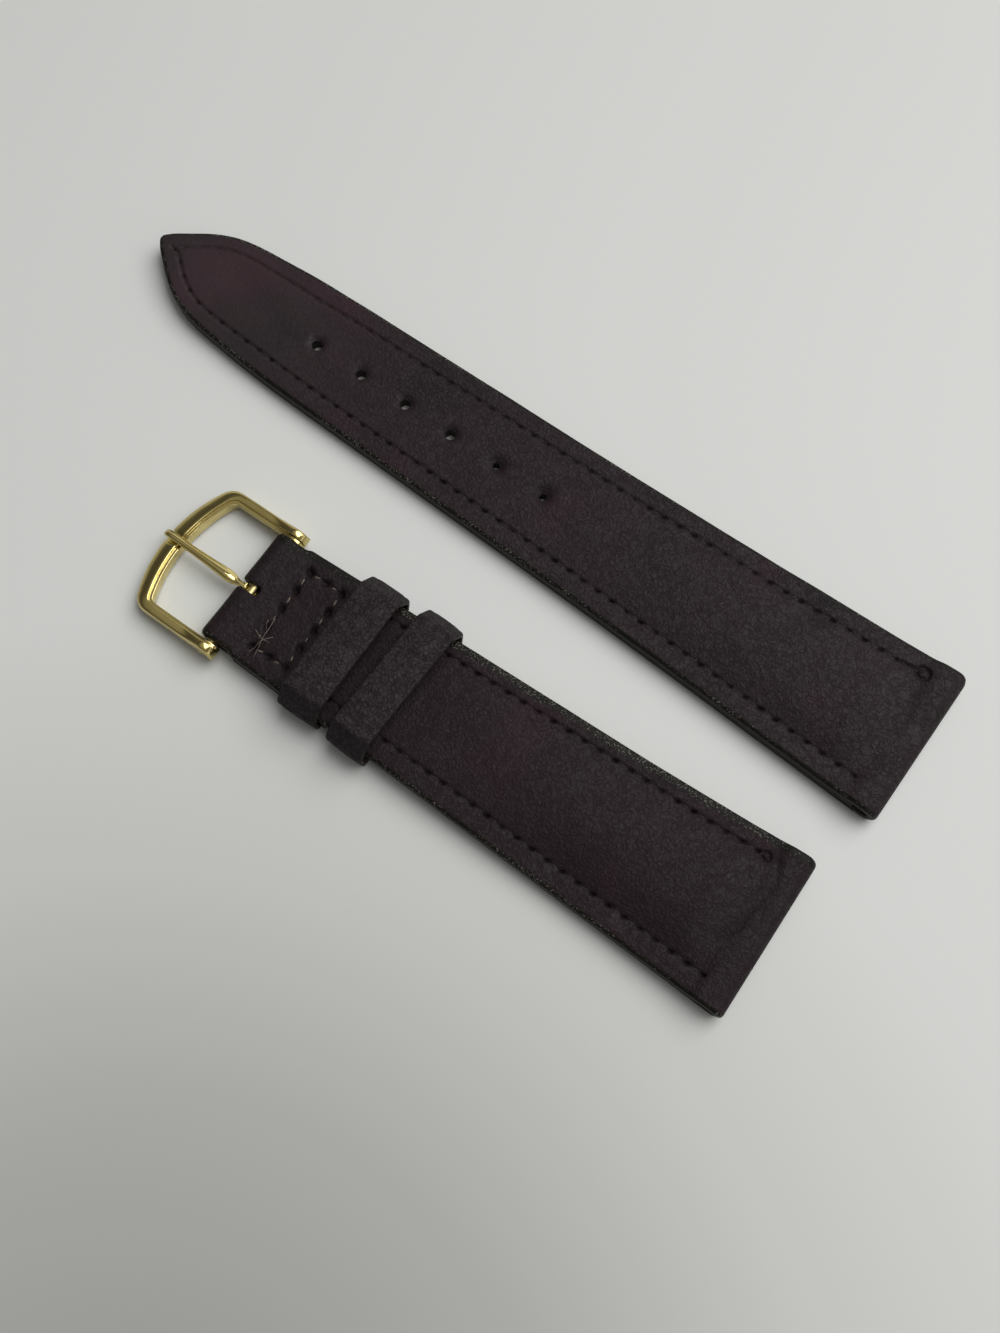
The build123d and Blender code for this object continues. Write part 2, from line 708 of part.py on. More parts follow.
def make_spring():
    """The compression spring that holds the two plungers out, of a wire with flat sides."""
    half = BAR_HALF - BAR_LIP - 2 * PIN_END_GAP - PLUNGER_HEAD_LENGTH - SPRING_WIRE / 2
    radius = BAR_RADIUS - BAR_WALL - SPRING_CLEARANCE - SPRING_WIRE / 2
    route = Helix(SPRING_PITCH, 2 * half, radius)
    section = Plane(origin=route @ 0, z_dir=route % 0) * RegularPolygon(SPRING_WIRE / 2, WIRE_SIDES)
    wire = sweep(section, route, is_frenet=True)
    return Rot(QUARTER_TURN, 0, 0) * Pos(0, 0, -half) * wire


# Put together


def make_buckle():
    at_bar = Pos(-BAR_X, 0, FOLD_RADIUS)
    return {
        "buckle_frame": buckle_at_rest(make_buckle_frame()),
        "buckle_tongue": buckle_at_rest(make_buckle_tongue()),
        "spring_bar_barrel": at_bar * make_barrel(),
        "spring_bar_spring": at_bar * make_spring(),
        "spring_bar_plunger_left": at_bar * make_plunger(-1),
        "spring_bar_plunger_right": at_bar * make_plunger(1),
    }


def make_strap():
    """Every piece under its name, in place, with the origin under the middle of the whole."""
    nodes = make_short_half()
    nodes["free_keeper"] = make_free_keeper()
    nodes["free_keeper_stitch"] = make_free_keeper_stitch()
    nodes.update(make_buckle())
    beside = Pos(LONG_OFFSET_X, LONG_OFFSET_Y, 0) * Rot(0, 0, LONG_TURN)
    for name, piece in make_long_half().items():
        nodes[name] = beside * piece
    box = Compound(children=[Compound(piece.solids()) for piece in nodes.values()]).bounding_box()
    centre = Pos(-box.center().X, -box.center().Y, -box.min.Z)
    return {name: centre * piece for name, piece in nodes.items()}, centre, beside


def print_places(centre, beside):
    """The joint axes and mounts, as they lie in the finished model."""
    long_place = centre * beside
    places = {
        "bar axis": centre * Pos(-BAR_X, 0, FOLD_RADIUS),
        "short tunnel": centre * Pos(-TUNNEL_X, 0, NOSE_RADIUS),
        "long tunnel": long_place * Pos(-TUNNEL_X, 0, NOSE_RADIUS),
        "rest face": long_place * Pos(-SHORT_FLAT, 0, 0),
    }
    for index in range(HOLE_COUNT):
        distance = HOLE_FIRST + index * HOLE_PITCH
        middle = (long_top(distance) + long_bottom(distance)) / 2
        places[f"hole {index + 1}"] = long_place * Pos(-distance, 0, middle)
    for name, place in places.items():
        print(name, tuple(round(value, 4) for value in place.position))


def main():
    os.makedirs("parts", exist_ok=True)
    nodes, centre, beside = make_strap()
    for name, piece in nodes.items():
        export_step(piece, f"parts/{name}.step")
    print_places(centre, beside)


main()
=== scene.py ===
"""A leather watch strap in two halves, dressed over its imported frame.

Every sheet of leather is cut flat, worked with its crown, stitch channel, needle
pits and hole rims, and then laid along its route: round the watch end, along the
top and, on the short half, round the buckle's bar. Lengths in the classes of shapes
are in millimetres, and the meshes, the lamps and the patterns' places are in metres.
"""

import logging
import math
from dataclasses import dataclass, field
from enum import Enum
from typing import Callable, Optional, Sequence

import bpy
import numpy as np
from mathutils import Euler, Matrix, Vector
from mathutils.geometry import delaunay_2d_cdt

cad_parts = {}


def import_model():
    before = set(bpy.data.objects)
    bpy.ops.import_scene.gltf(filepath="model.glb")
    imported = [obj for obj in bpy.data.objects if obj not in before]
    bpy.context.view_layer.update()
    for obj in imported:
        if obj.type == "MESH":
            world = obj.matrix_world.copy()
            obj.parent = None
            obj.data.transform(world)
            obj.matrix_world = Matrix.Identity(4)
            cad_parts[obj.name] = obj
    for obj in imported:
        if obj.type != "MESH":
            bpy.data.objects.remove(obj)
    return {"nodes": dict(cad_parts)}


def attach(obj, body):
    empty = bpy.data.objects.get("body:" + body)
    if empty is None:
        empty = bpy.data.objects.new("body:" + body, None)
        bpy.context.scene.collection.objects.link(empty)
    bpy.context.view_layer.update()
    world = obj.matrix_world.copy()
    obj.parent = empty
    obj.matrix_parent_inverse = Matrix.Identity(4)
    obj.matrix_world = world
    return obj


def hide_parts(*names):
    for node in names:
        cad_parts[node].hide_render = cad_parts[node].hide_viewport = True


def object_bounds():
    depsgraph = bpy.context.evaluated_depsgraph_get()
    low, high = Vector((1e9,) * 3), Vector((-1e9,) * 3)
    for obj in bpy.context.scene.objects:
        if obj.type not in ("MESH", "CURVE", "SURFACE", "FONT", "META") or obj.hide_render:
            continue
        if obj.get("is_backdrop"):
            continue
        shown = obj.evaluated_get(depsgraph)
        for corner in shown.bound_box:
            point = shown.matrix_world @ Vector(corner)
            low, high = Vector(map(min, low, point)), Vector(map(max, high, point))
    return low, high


MM = 0.001
TRIANGLE_HEIGHT = 0.866
LOG = logging.getLogger("strap")

Array = np.ndarray
Material = bpy.types.Material
Piece = bpy.types.Object
Node = bpy.types.Node
NodeTree = bpy.types.NodeTree
Socket = bpy.types.NodeSocket
HeightMap = Callable[[Array, Array], Array]
Tube = tuple[Array, list[tuple[int, ...]]]


class Body(Enum):
    """The moving bodies of the frame."""

    SHORT = "short_strap"
    LONG = "long_strap"
    FRAME = "buckle_frame"
    TONGUE = "buckle_tongue"
    FREE_KEEPER = "free_keeper"


class Face(Enum):
    """Which material slot a face of a leather piece takes."""

    GRAIN = 0
    EDGE = 1
    FLESH = 2
    RIM = 3


# Materials


def linear(code: str) -> tuple[float, float, float, float]:
    """Turn an sRGB colour into the linear values that nodes take.

    Args:
        code: The colour as six hex digits after a hash.

    Returns:
        Red, green, blue and alpha, each from 0 to 1.
    """
    parts = [int(code[i : i + 2], 16) / 255 for i in (1, 3, 5)]
    r, g, b = [p / 12.92 if p <= 0.04045 else ((p + 0.055) / 1.055) ** 2.4 for p in parts]
    return (r, g, b, 1.0)


def feed(tree: NodeTree, node: Node, inputs: dict) -> None:
    """Set or link a node's inputs.

    Args:
        tree: The node tree.
        node: The node.
        inputs: Values or output sockets for the inputs, by name or number.
    """
    for name, value in inputs.items():
        if isinstance(value, Socket):
            tree.links.new(value, node.inputs[name])
        else:
            node.inputs[name].default_value = value


def add_node(tree: NodeTree, kind: str, inputs: Optional[dict] = None, **settings) -> Node:
    """Add a node, with its settings, values and links.

    Args:
        tree: The node tree that it joins.
        kind: The node's type, less the words that every shader node's type starts with.
        inputs: Values or output sockets for the inputs, by name or number.
        **settings: Attributes of the node.

    Returns:
        The new node.
    """
    node = tree.nodes.new("ShaderNode" + kind)
    for name, value in settings.items():
        setattr(node, name, value)
    feed(tree, node, inputs or {})
    return node


def ramp(tree: NodeTree, factor: Socket, stops: Sequence[tuple[float, str]]) -> Socket:
    """Add a colour ramp.

    Args:
        tree: The node tree.
        factor: The socket that drives it.
        stops: Pairs of place and hex colour.

    Returns:
        The ramp's colour output.
    """
    node = add_node(tree, "ValToRGB", {"Fac": factor})
    while len(node.color_ramp.elements) < len(stops):
        node.color_ramp.elements.new(0.5)
    for element, (place, code) in zip(node.color_ramp.elements, stops):
        element.position = place
        element.color = linear(code)
    return node.outputs["Color"]


def per_metre(size_mm: float) -> float:
    """The texture scale that gives a pattern this real size."""
    return 1000.0 / size_mm


@dataclass(frozen=True)
class Finish:
    """What every finish has: a name and a plain shader."""

    name: str
    colour: str
    roughness: float
    metallic: float = 0.0

    def start(self) -> tuple[Material, NodeTree, Node, Socket]:
        """Make the material with its shader.

        Returns:
            The material, its node tree, its shader node and the place on the piece.
        """
        material = bpy.data.materials.new(self.name)
        material.use_nodes = True
        tree = material.node_tree
        shader = tree.nodes["Principled BSDF"]
        colour = linear(self.colour)
        feed(tree, shader, {"Base Color": colour, "Roughness": self.roughness, "Metallic": self.metallic})
        material.diffuse_color = colour
        return material, tree, shader, add_node(tree, "TexCoord").outputs["Object"]


@dataclass(frozen=True)
class CalfLeather(Finish):
    """Aniline-dyed calf with a drum-tumbled grain.

    Its dye sinks in unevenly, so broad patches run from brown black to burgundy. The
    tumbled pebbles are broken up by short wrinkles, and their crests are drawn paler, partly wear and
    partly a painted highlight.
    Calf's pores are finer than this, too fine to show, so the pebbles are drawn coarser.

    Attributes:
        push_mm: How far the wrinkles push the pebbles about.
        wear: How much paler the pebbles' crests are drawn, partly wear and partly a painted highlight.
        tail_grain: How much of the relief is left towards the tail, which wear has flattened.
        sheen: A painted sheen: how much paler that flattened leather is drawn.
        stain: The middle of a redder patch, in metres.
    """

    patch: str = "#28161b"
    dark: str = "#161113"
    # The paler tone: drawn on the crests as wear and painted highlight, and on the tail as painted sheen.
    pale: str = "#423a3b"
    pebble_mm: float = 0.55
    crease_mm: float = 1.5
    wrinkle_mm: float = 1.1
    patch_mm: float = 14.0
    push_mm: float = 0.6
    depth_mm: float = 0.11
    wear: float = 0.2
    sheen: float = 0.0
    tail_grain: float = 0.99
    stain: tuple[float, float, float] = (-0.0475, 0.0185, 0.002)
    specular: float = 0.15

    def make(self) -> Material:
        """Build the leather's nodes.

        Returns:
            The finished material.
        """
        material, tree, shader, place = self.start()
        wrinkles = {"Vector": place, "Scale": per_metre(self.wrinkle_mm), "Detail": 3.0, "Roughness": 0.6}
        bent = add_node(tree, "TexNoise", wrinkles).outputs["Color"]
        push = add_node(
            tree, "VectorMath", {0: bent, "Scale": self.push_mm * MM}, operation="SCALE"
        ).outputs[0]
        moved = add_node(tree, "VectorMath", {0: place, 1: push}, operation="ADD").outputs[0]
        pebbles = add_node(
            tree,
            "TexVoronoi",
            {"Vector": moved, "Scale": per_metre(self.pebble_mm), "Randomness": 1.0},
            feature="DISTANCE_TO_EDGE",
        ).outputs["Distance"]
        eased = {"interpolation_type": "SMOOTHSTEP"}
        domed = {"Value": pebbles, 1: 0.0, 2: 0.30, 3: 0.0, 4: 1.0}
        swollen = add_node(tree, "MapRange", domed, **eased).outputs[0]
        folds = add_node(
            tree,
            "TexNoise",
            {
                "Vector": place,
                "Scale": per_metre(self.crease_mm),
                "Detail": 3.0,
                "Roughness": 0.55,
                "Distortion": 1.4,
            },
        ).outputs["Fac"]
        off = add_node(tree, "Math", {0: folds, 1: 0.5}, operation="SUBTRACT").outputs[0]
        bent_over = add_node(tree, "Math", {0: off}, operation="ABSOLUTE").outputs[0]
        valleys = {"Value": bent_over, 1: 0.0, 2: 0.055, 3: 0.0, 4: 1.0}
        creased = add_node(tree, "MapRange", valleys, **eased).outputs[0]
        mottle = add_node(
            tree,
            "TexNoise",
            {
                "Vector": moved,
                "Scale": per_metre(self.pebble_mm * 1.6),
                "Detail": 5.0,
                "Roughness": 0.6,
                "Distortion": 0.6,
            },
        ).outputs["Fac"]
        both = add_node(tree, "Math", {0: creased, 1: 0.26, 2: mottle}, operation="MULTIPLY_ADD").outputs[0]
        height = add_node(tree, "Math", {0: swollen, 1: 0.24, 2: both}, operation="MULTIPLY_ADD").outputs[0]
        along = add_node(tree, "SeparateXYZ", {"Vector": place}).outputs["X"]
        flattened = {"Value": along, 1: -0.046, 2: -0.014, 3: self.tail_grain, 4: 1.0}
        force = add_node(tree, "MapRange", flattened, **eased).outputs[0]
        broad = {"Vector": place, "Scale": per_metre(self.patch_mm), "Detail": 2.0, "Roughness": 0.5}
        patches = add_node(tree, "TexNoise", broad).outputs["Fac"]
        reach = add_node(
            tree, "VectorMath", {0: place, 1: self.stain}, operation="DISTANCE"
        ).outputs["Value"]
        blot = {"Value": reach, 1: 0.003, 2: 0.011, 3: 0.2, 4: 0.0}
        stained = add_node(tree, "MapRange", blot, **eased).outputs[0]
        depth = add_node(tree, "Math", {0: patches, 1: stained}, operation="ADD").outputs[0]
        dyed = ramp(
            tree, depth, [(0.30, self.dark), (0.45, self.colour), (0.58, self.colour), (0.76, self.patch)]
        )
        # Wear and painted highlight: the pebbles' crests are drawn paler.
        crest_wear_and_highlight = add_node(
            tree, "MapRange", {"Value": height, 1: 0.66, 2: 1.10, 3: 0.0, 4: self.wear}
        ).outputs[0]
        # Painted sheen: the flattened leather towards the tail is drawn paler.
        rest = {"Value": force, 1: self.tail_grain - 0.01, 2: 1.0, 3: self.sheen, 4: 0.0}
        smooth = add_node(tree, "MapRange", rest).outputs[0]
        rubbed = add_node(tree, "Math", {0: crest_wear_and_highlight, 1: force, 2: smooth}, operation="MULTIPLY_ADD").outputs[0]
        worn = add_node(
            tree, "Mix", {0: rubbed, 6: dyed, 7: linear(self.pale)}, data_type="RGBA"
        ).outputs[2]
        # Painted shade, with some wax: the stitch pits, the channel, the creases and the keepers' folds are
        # drawn darker.
        shade_and_wax = add_node(tree, "Attribute", attribute_name="shade_and_wax").outputs["Fac"]
        deep = add_node(tree, "Math", {0: shade_and_wax, 1: 0.65}, operation="MULTIPLY").outputs[0]
        shade_and_wax_tone = add_node(tree, "Mix", {0: deep, 6: worn, 7: linear("#0e0a0b")}, data_type="RGBA").outputs[2]
        duller = {"Value": height, 1: 0.45, 2: 1.0, 3: self.roughness + 0.12, 4: self.roughness - 0.06}
        rough = add_node(tree, "MapRange", duller).outputs[0]
        relief = {"Height": height, "Distance": self.depth_mm * MM, "Strength": force}
        bump = add_node(tree, "Bump", relief).outputs["Normal"]
        feed(tree, shader, {"Base Color": shade_and_wax_tone, "Roughness": rough, "Normal": bump})
        feed(tree, shader, {"Specular IOR Level": self.specular})
        return material


@dataclass(frozen=True)
class EdgePaint(Finish):
    """Edge paint, laid on in coats and left to level, so it is smooth and half glossy.

    Lint and dust stick to it as fine pale specks, drawn coarser than they are.
    """

    worn: str = "#2f2927"
    speck: str = "#8f8b84"
    speck_mm: float = 0.22
    dust: float = 0.0
    ripple_mm: float = 0.9
    stretch_mm: float = 11.0
    depth_mm: float = 0.08
    specular: float = 0.4

    def make(self) -> Material:
        """Build the paint's nodes.

        Returns:
            The finished material.
        """
        material, tree, shader, place = self.start()
        waves = {"Vector": place, "Scale": per_metre(self.ripple_mm), "Detail": 5.0, "Roughness": 0.6}
        ripple = add_node(tree, "TexNoise", waves).outputs["Fac"]
        coat = ramp(tree, ripple, [(0.45, self.colour), (0.80, self.worn)])
        specks = {"Vector": place, "Scale": per_metre(self.speck_mm), "Detail": 1.0, "Roughness": 0.5}
        motes = add_node(tree, "TexNoise", specks).outputs["Fac"]
        broad = {"Vector": place, "Scale": per_metre(self.stretch_mm), "Detail": 1.0}
        stretches = add_node(tree, "TexNoise", broad).outputs["Fac"]
        settled = add_node(
            tree, "MapRange", {"Value": stretches, 1: 0.36, 2: 0.56, 3: 0.0, 4: 0.12}
        ).outputs[0]
        likely = add_node(tree, "Math", {0: motes, 1: settled}, operation="ADD").outputs[0]
        dusty = add_node(
            tree, "MapRange", {"Value": likely, 1: 0.68, 2: 0.76, 3: 0.0, 4: self.dust}
        ).outputs[0]
        tone = add_node(
            tree, "Mix", {0: dusty, 6: coat, 7: linear(self.speck)}, data_type="RGBA"
        ).outputs[2]
        both = add_node(tree, "Math", {0: motes, 1: 0.4, 2: ripple}, operation="MULTIPLY_ADD").outputs[0]
        relief = {"Height": both, "Distance": self.depth_mm * MM, "Strength": 0.8}
        bump = add_node(tree, "Bump", relief).outputs["Normal"]
        feed(tree, shader, {"Base Color": tone, "Normal": bump, "Specular IOR Level": self.specular})
        return material


@dataclass(frozen=True)
class SplitLeather(Finish):
    """Lining, board or the flesh side of leather: matte, with short fibres lying about."""

    dark: str = "#5b4232"
    fibre_mm: float = 0.35
    soil_mm: float = 9.0
    depth_mm: float = 0.05

    def make(self) -> Material:
        """Build the fibres' nodes.

        Returns:
            The finished material.
        """
        material, tree, shader, place = self.start()
        fine = {"Scale": per_metre(self.fibre_mm), "Detail": 6.0, "Roughness": 0.7, "Distortion": 0.6}
        fibres = add_node(tree, "TexNoise", {"Vector": place, **fine}).outputs["Fac"]
        broad = {"Vector": place, "Scale": per_metre(self.soil_mm), "Detail": 3.0}
        soil = add_node(tree, "TexNoise", broad).outputs["Fac"]
        both = add_node(tree, "Math", {0: fibres, 1: soil}, operation="MULTIPLY").outputs[0]
        tone = ramp(tree, both, [(0.12, self.dark), (0.36, self.colour)])
        relief = {"Height": fibres, "Distance": self.depth_mm * MM, "Strength": 0.7}
        bump = add_node(tree, "Bump", relief).outputs["Normal"]
        feed(tree, shader, {"Base Color": tone, "Normal": bump})
        return material


@dataclass(frozen=True)
class WaxedThread(Finish):
    """Waxed linen thread: its plies catch a soft light, and its wax is dusty."""

    dust: str = "#6b5f60"
    hair_mm: float = 0.3
    depth_mm: float = 0.03
    specular: float = 0.2

    def make(self) -> Material:
        """Build the thread's nodes.

        Returns:
            The finished material.
        """
        material, tree, shader, place = self.start()
        fine = {"Vector": place, "Scale": per_metre(self.hair_mm), "Detail": 4.0, "Roughness": 0.65}
        hairs = add_node(tree, "TexNoise", fine).outputs["Fac"]
        tone = ramp(tree, hairs, [(0.38, self.colour), (0.72, self.dust)])
        relief = {"Height": hairs, "Distance": self.depth_mm * MM, "Strength": 0.8}
        bump = add_node(tree, "Bump", relief).outputs["Normal"]
        feed(tree, shader, {"Base Color": tone, "Normal": bump, "Specular IOR Level": self.specular})
        return material


@dataclass(frozen=True)
class PolishedPlate(Finish):
    """Gold plate over polished brass: mirror-like, with hairline wear and faint ripples."""

    scratch_mm: float = 1.8
    ripple_mm: float = 2.2
    depth_mm: float = 0.05
    worn: str = "#bfae72"

    def make(self) -> Material:
        """Build the plate's nodes.

        Returns:
            The finished material.
        """
        material, tree, shader, place = self.start()
        long_way = add_node(tree, "Mapping", {"Vector": place, "Scale": (0.35, 1.0, 1.0)}).outputs[0]
        rubbed = {"Vector": long_way, "Scale": per_metre(self.scratch_mm), "Detail": 3.0, "Roughness": 0.5}
        smear = add_node(tree, "TexNoise", rubbed).outputs["Fac"]
        duller = {"Value": smear, 1: 0.3, 2: 0.75, 3: self.roughness * 0.8, 4: self.roughness * 1.35}
        rough = add_node(tree, "MapRange", duller).outputs[0]
        tone = ramp(tree, smear, [(0.35, self.colour), (0.80, self.worn)])
        ripples = {"Vector": place, "Scale": per_metre(self.ripple_mm), "Detail": 2.0}
        wave = add_node(tree, "TexNoise", ripples).outputs["Fac"]
        relief = {"Height": wave, "Distance": self.depth_mm * MM, "Strength": 0.5}
        bump = add_node(tree, "Bump", relief).outputs["Normal"]
        feed(tree, shader, {"Base Color": tone, "Roughness": rough, "Normal": bump})
        return material


@dataclass(frozen=True)
class DrawnSteel(Finish):
    """Cold-drawn stainless steel: satin, with lines along the draw."""

    line_mm: float = 0.2
    depth_mm: float = 0.01

    def make(self) -> Material:
        """Build the steel's nodes.

        Returns:
            The finished material.
        """
        material, tree, shader, place = self.start()
        drawn = add_node(tree, "Mapping", {"Vector": place, "Scale": (1.0, 0.05, 1.0)}).outputs[0]
        fine = {"Vector": drawn, "Scale": per_metre(self.line_mm), "Detail": 3.0}
        lines = add_node(tree, "TexNoise", fine).outputs["Fac"]
        duller = {"Value": lines, 1: 0.3, 2: 0.7, 3: self.roughness * 0.8, 4: self.roughness * 1.3}
        rough = add_node(tree, "MapRange", duller).outputs[0]
        relief = {"Height": lines, "Distance": self.depth_mm * MM, "Strength": 0.5}
        bump = add_node(tree, "Bump", relief).outputs["Normal"]
        feed(tree, shader, {"Roughness": rough, "Normal": bump})
        return material


@dataclass(frozen=True)
class TableTop(Finish):
    """Matt white laminate, with painted shade: greyer towards one corner, where less light reaches it.

    Attributes:
        corner: The middle of the painted shade, in metres.
        reach: How far from it the tone changes, in metres.
    """

    corner: tuple[float, float, float] = (0.0345, -0.0964, 0.0)
    reach: float = 0.2

    def make(self) -> Material:
        """Build the table's nodes.

        Returns:
            The finished material.
        """
        material, tree, shader, place = self.start()
        away = add_node(
            tree, "VectorMath", {0: place, 1: self.corner}, operation="DISTANCE"
        ).outputs["Value"]
        share = add_node(tree, "Math", {0: away, 1: self.reach}, operation="DIVIDE").outputs[0]
        # Painted shade: the table is drawn greyer towards the corner where less light reaches it.
        shaded = [(0.06, "#999a96"), (0.20, "#a8a9a5"), (0.33, "#bfc0bc")]
        tone = ramp(tree, share, [*shaded, (0.48, self.colour), (0.72, "#cbccc9"), (1.0, "#c8c9c6")])
        feed(tree, shader, {"Base Color": tone})
        return material


@dataclass
class Wardrobe:
    """Every material of the strap, made once."""

    # Each calf's pale tone and wear draw paler crests, partly wear and partly painted highlight; the long
    # calf's sheen is a painted sheen towards the tail.
    long_calf: Material = field(
        default_factory=CalfLeather(
            "tumbled_calf_aubergine", "#1e1519", 0.55, patch="#2c171f", tail_grain=0.3, sheen=0.18
        ).make
    )
    short_calf: Material = field(
        default_factory=CalfLeather(
            "tumbled_calf_aubergine_deep",
            "#1a1014",
            0.56,
            patch="#22121a",
            dark="#171013",
            pale="#383033",
            depth_mm=0.09,
        ).make
    )
    keeper: Material = field(
        default_factory=CalfLeather(
            "tumbled_calf_keeper",
            "#1c1517",
            0.6,
            patch="#1f1519",
            dark="#181315",
            pale="#484347",
            pebble_mm=0.5,
            depth_mm=0.14,
            wear=0.34,
        ).make
    )
    edge: Material = field(
        default_factory=EdgePaint("edge_paint_black_brown", "#1a1614", 0.5, specular=0.2).make
    )
    rim: Material = field(
        default_factory=EdgePaint(
            "edge_paint_lapped_over",
            "#100f0c",
            0.5,
            worn="#1a1813",
            speck="#8f8a80",
            dust=0.34,
            speck_mm=0.2,
            specular=0.12,
        ).make
    )
    lining: Material = field(
        default_factory=SplitLeather("lining_calf_tan", "#9a7454", 0.7, dark="#6d4d36").make
    )
    flesh: Material = field(
        default_factory=SplitLeather("flesh_side_dyed", "#3a2c2a", 0.85, dark="#241b1a").make
    )
    board: Material = field(
        default_factory=SplitLeather("leather_board", "#4a352c", 0.85, dark="#2c201b").make
    )
    felt: Material = field(
        default_factory=SplitLeather("wool_felt", "#b0a48f", 0.95, dark="#8d8270", fibre_mm=0.25).make
    )
    thread: Material = field(
        default_factory=WaxedThread("waxed_linen_thread", "#1b1415", 0.6, dust="#2e2425").make
    )
    loose_thread: Material = field(
        default_factory=WaxedThread("waxed_linen_thread_dusty", "#4c423e", 0.65, dust="#7d7066").make
    )
    plate: Material = field(
        default_factory=PolishedPlate("gold_plate_polished", "#d8c98c", 0.14, 1.0).make
    )
    steel: Material = field(
        default_factory=DrawnSteel("stainless_steel_drawn", "#b0a376", 0.28, 1.0).make
    )
    wire: Material = field(
        default_factory=DrawnSteel("spring_steel_wire", "#9a9a9c", 0.32, 1.0).make
    )


# Shapes in the flat


def soften(points: Sequence[tuple[float, float]], reaches: Sequence[float], steps: int = 8) -> Array:
    """Round the corners of an open line.

    Args:
        points: The corners in order.
        reaches: How far from each inner corner its bend starts.
        steps: How many pieces each bend has.

    Returns:
        The points of the rounded line.
    """
    pts = np.array(points, float)
    out = [pts[0]]
    for before, here, after, reach in zip(pts, pts[1:], pts[2:], reaches):
        a = here + (before - here) * min(0.5, reach / np.linalg.norm(before - here))
        b = here + (after - here) * min(0.5, reach / np.linalg.norm(after - here))
        for k in np.linspace(0, 1, steps + 1):
            out.append((1 - k) ** 2 * a + 2 * k * (1 - k) * here + k**2 * b)
    out.append(pts[-1])
    return np.array(out)


def full_turn(count: int) -> Array:
    """Evenly spread angles of a whole turn."""
    return np.linspace(0, 2 * math.pi, count, endpoint=False)


def run_along(line: Array) -> Array:
    """The distance along a line to each of its points."""
    return np.concatenate([[0], np.cumsum(np.linalg.norm(np.diff(line, axis=0), axis=1))])


def ribbon(s: Array, low: Array, high: Array) -> Array:
    """A long loop between two edges.

    Args:
        s: Places along it.
        low: The edge on the low side at each place.
        high: The edge on the high side.

    Returns:
        The points, counter-clockwise.
    """
    return np.concatenate([np.stack([s, low], 1), np.stack([s, high], 1)[::-1]])


def leaf(s: Array, low: Array, high: Array) -> Array:
    """A loop between two edges that meet in one point at the far end.

    Args:
        s: Places along it.
        low: The edge on the low side at each place.
        high: The edge on the high side.

    Returns:
        The points, counter-clockwise.
    """
    return np.delete(ribbon(s, low, high), len(s), 0)


def resample(line: Array, step: float) -> Array:
    """Spread points evenly along a line.

    Args:
        line: The line's points.
        step: About how far apart the new points are.

    Returns:
        The new points, the first and last of the line among them.
    """
    run = run_along(line)
    even = np.linspace(0, run[-1], max(2, int(round(run[-1] / step)) + 1))
    return np.stack([np.interp(even, run, line[:, k]) for k in range(line.shape[1])], 1)


def inset(line: Array, amount: float) -> Array:
    """Move an open line to its right-hand side.

    Args:
        line: The line's corners.
        amount: How far.

    Returns:
        The moved corners, mitred.
    """
    along = np.diff(line, axis=0)
    along /= np.linalg.norm(along, axis=1)[:, None]
    side = np.stack([along[:, 1], -along[:, 0]], 1)
    moved = [line[0] + side[0] * amount]
    for here, first, second in zip(line[1:-1], side, side[1:]):
        middle = first + second
        moved.append(here + middle * amount * 2 / (middle @ middle))
    moved.append(line[-1] + side[-1] * amount)
    return np.array(moved)


def inside(points: Array, loop: Array) -> Array:
    """Tell which points lie inside a closed loop.

    Args:
        points: The points.
        loop: The loop's corners.

    Returns:
        True for each point inside.
    """
    found = np.zeros(len(points), bool)
    x, y = points[:, 0], points[:, 1]
    for (ax, ay), (bx, by) in zip(loop, np.roll(loop, -1, 0)):
        if ay == by:
            continue
        cross = ((ay > y) != (by > y)) & (x < (bx - ax) * (y - ay) / (by - ay) + ax)
        found ^= cross
    return found


def distance_to(points: Array, line: Array, closed: bool = False) -> Array:
    """Distance from points to a line.

    Args:
        points: The points.
        line: The line's corners.
        closed: Whether its end joins its start.

    Returns:
        The distances.
    """
    ends = np.roll(line, -1, 0) if closed else line[1:]
    best = np.full(len(points), 1e9)
    for a, b in zip(line, ends):
        run = b - a
        share = np.clip(((points - a) @ run) / max(run @ run, 1e-12), 0, 1)
        gap = points - a - share[:, None] * run
        best = np.minimum(best, np.einsum("ij,ij->i", gap, gap))
    return np.sqrt(best)


def boxed(points: Array, line: Array, reach: float) -> Array:
    """Find the points in the box round a line.

    Args:
        points: The points.
        line: The line's corners.
        reach: How far past the line the box goes.

    Returns:
        Their numbers.
    """
    low, high = line.min(0) - reach, line.max(0) + reach
    return np.flatnonzero((points > low).all(1) & (points < high).all(1))


def valley(points: Array, path: Array, depth: float, width: float, closed: bool = False) -> Array:
    """The height that a soft line pressed into leather takes off it.

    Args:
        points: Points in the flat.
        path: The line.
        depth: How deep it is.
        width: How wide it is.
        closed: Whether its end joins its start.

    Returns:
        Heights, zero or less.
    """
    drop = np.zeros(len(points))
    near = boxed(points, path, width * 3)
    drop[near] -= depth * np.exp(-((distance_to(points[near], path, closed) / width) ** 2))
    return drop


def unevenness(seed: int, size_mm: float, amount_mm: float) -> HeightMap:
    """Make the gentle unevenness of hand-worked leather.

    Args:
        seed: Which pattern.
        size_mm: How long its waves are.
        amount_mm: How high they are.

    Returns:
        The height over the flat.
    """
    draw = np.random.default_rng(seed)
    spans = ((0.6, 1.6), (0, 2 * math.pi), (0, 2 * math.pi))
    waves = [[draw.uniform(low, high) for low, high in spans] for _ in range(9)]

    def height(s: Array, t: Array) -> Array:
        total = np.zeros_like(s)
        for rate, turn, phase in waves:
            way = s * math.cos(turn) + t * math.sin(turn)
            total += np.sin(2 * math.pi * rate / size_mm * way + phase)
        return total * amount_mm / 3

    return height


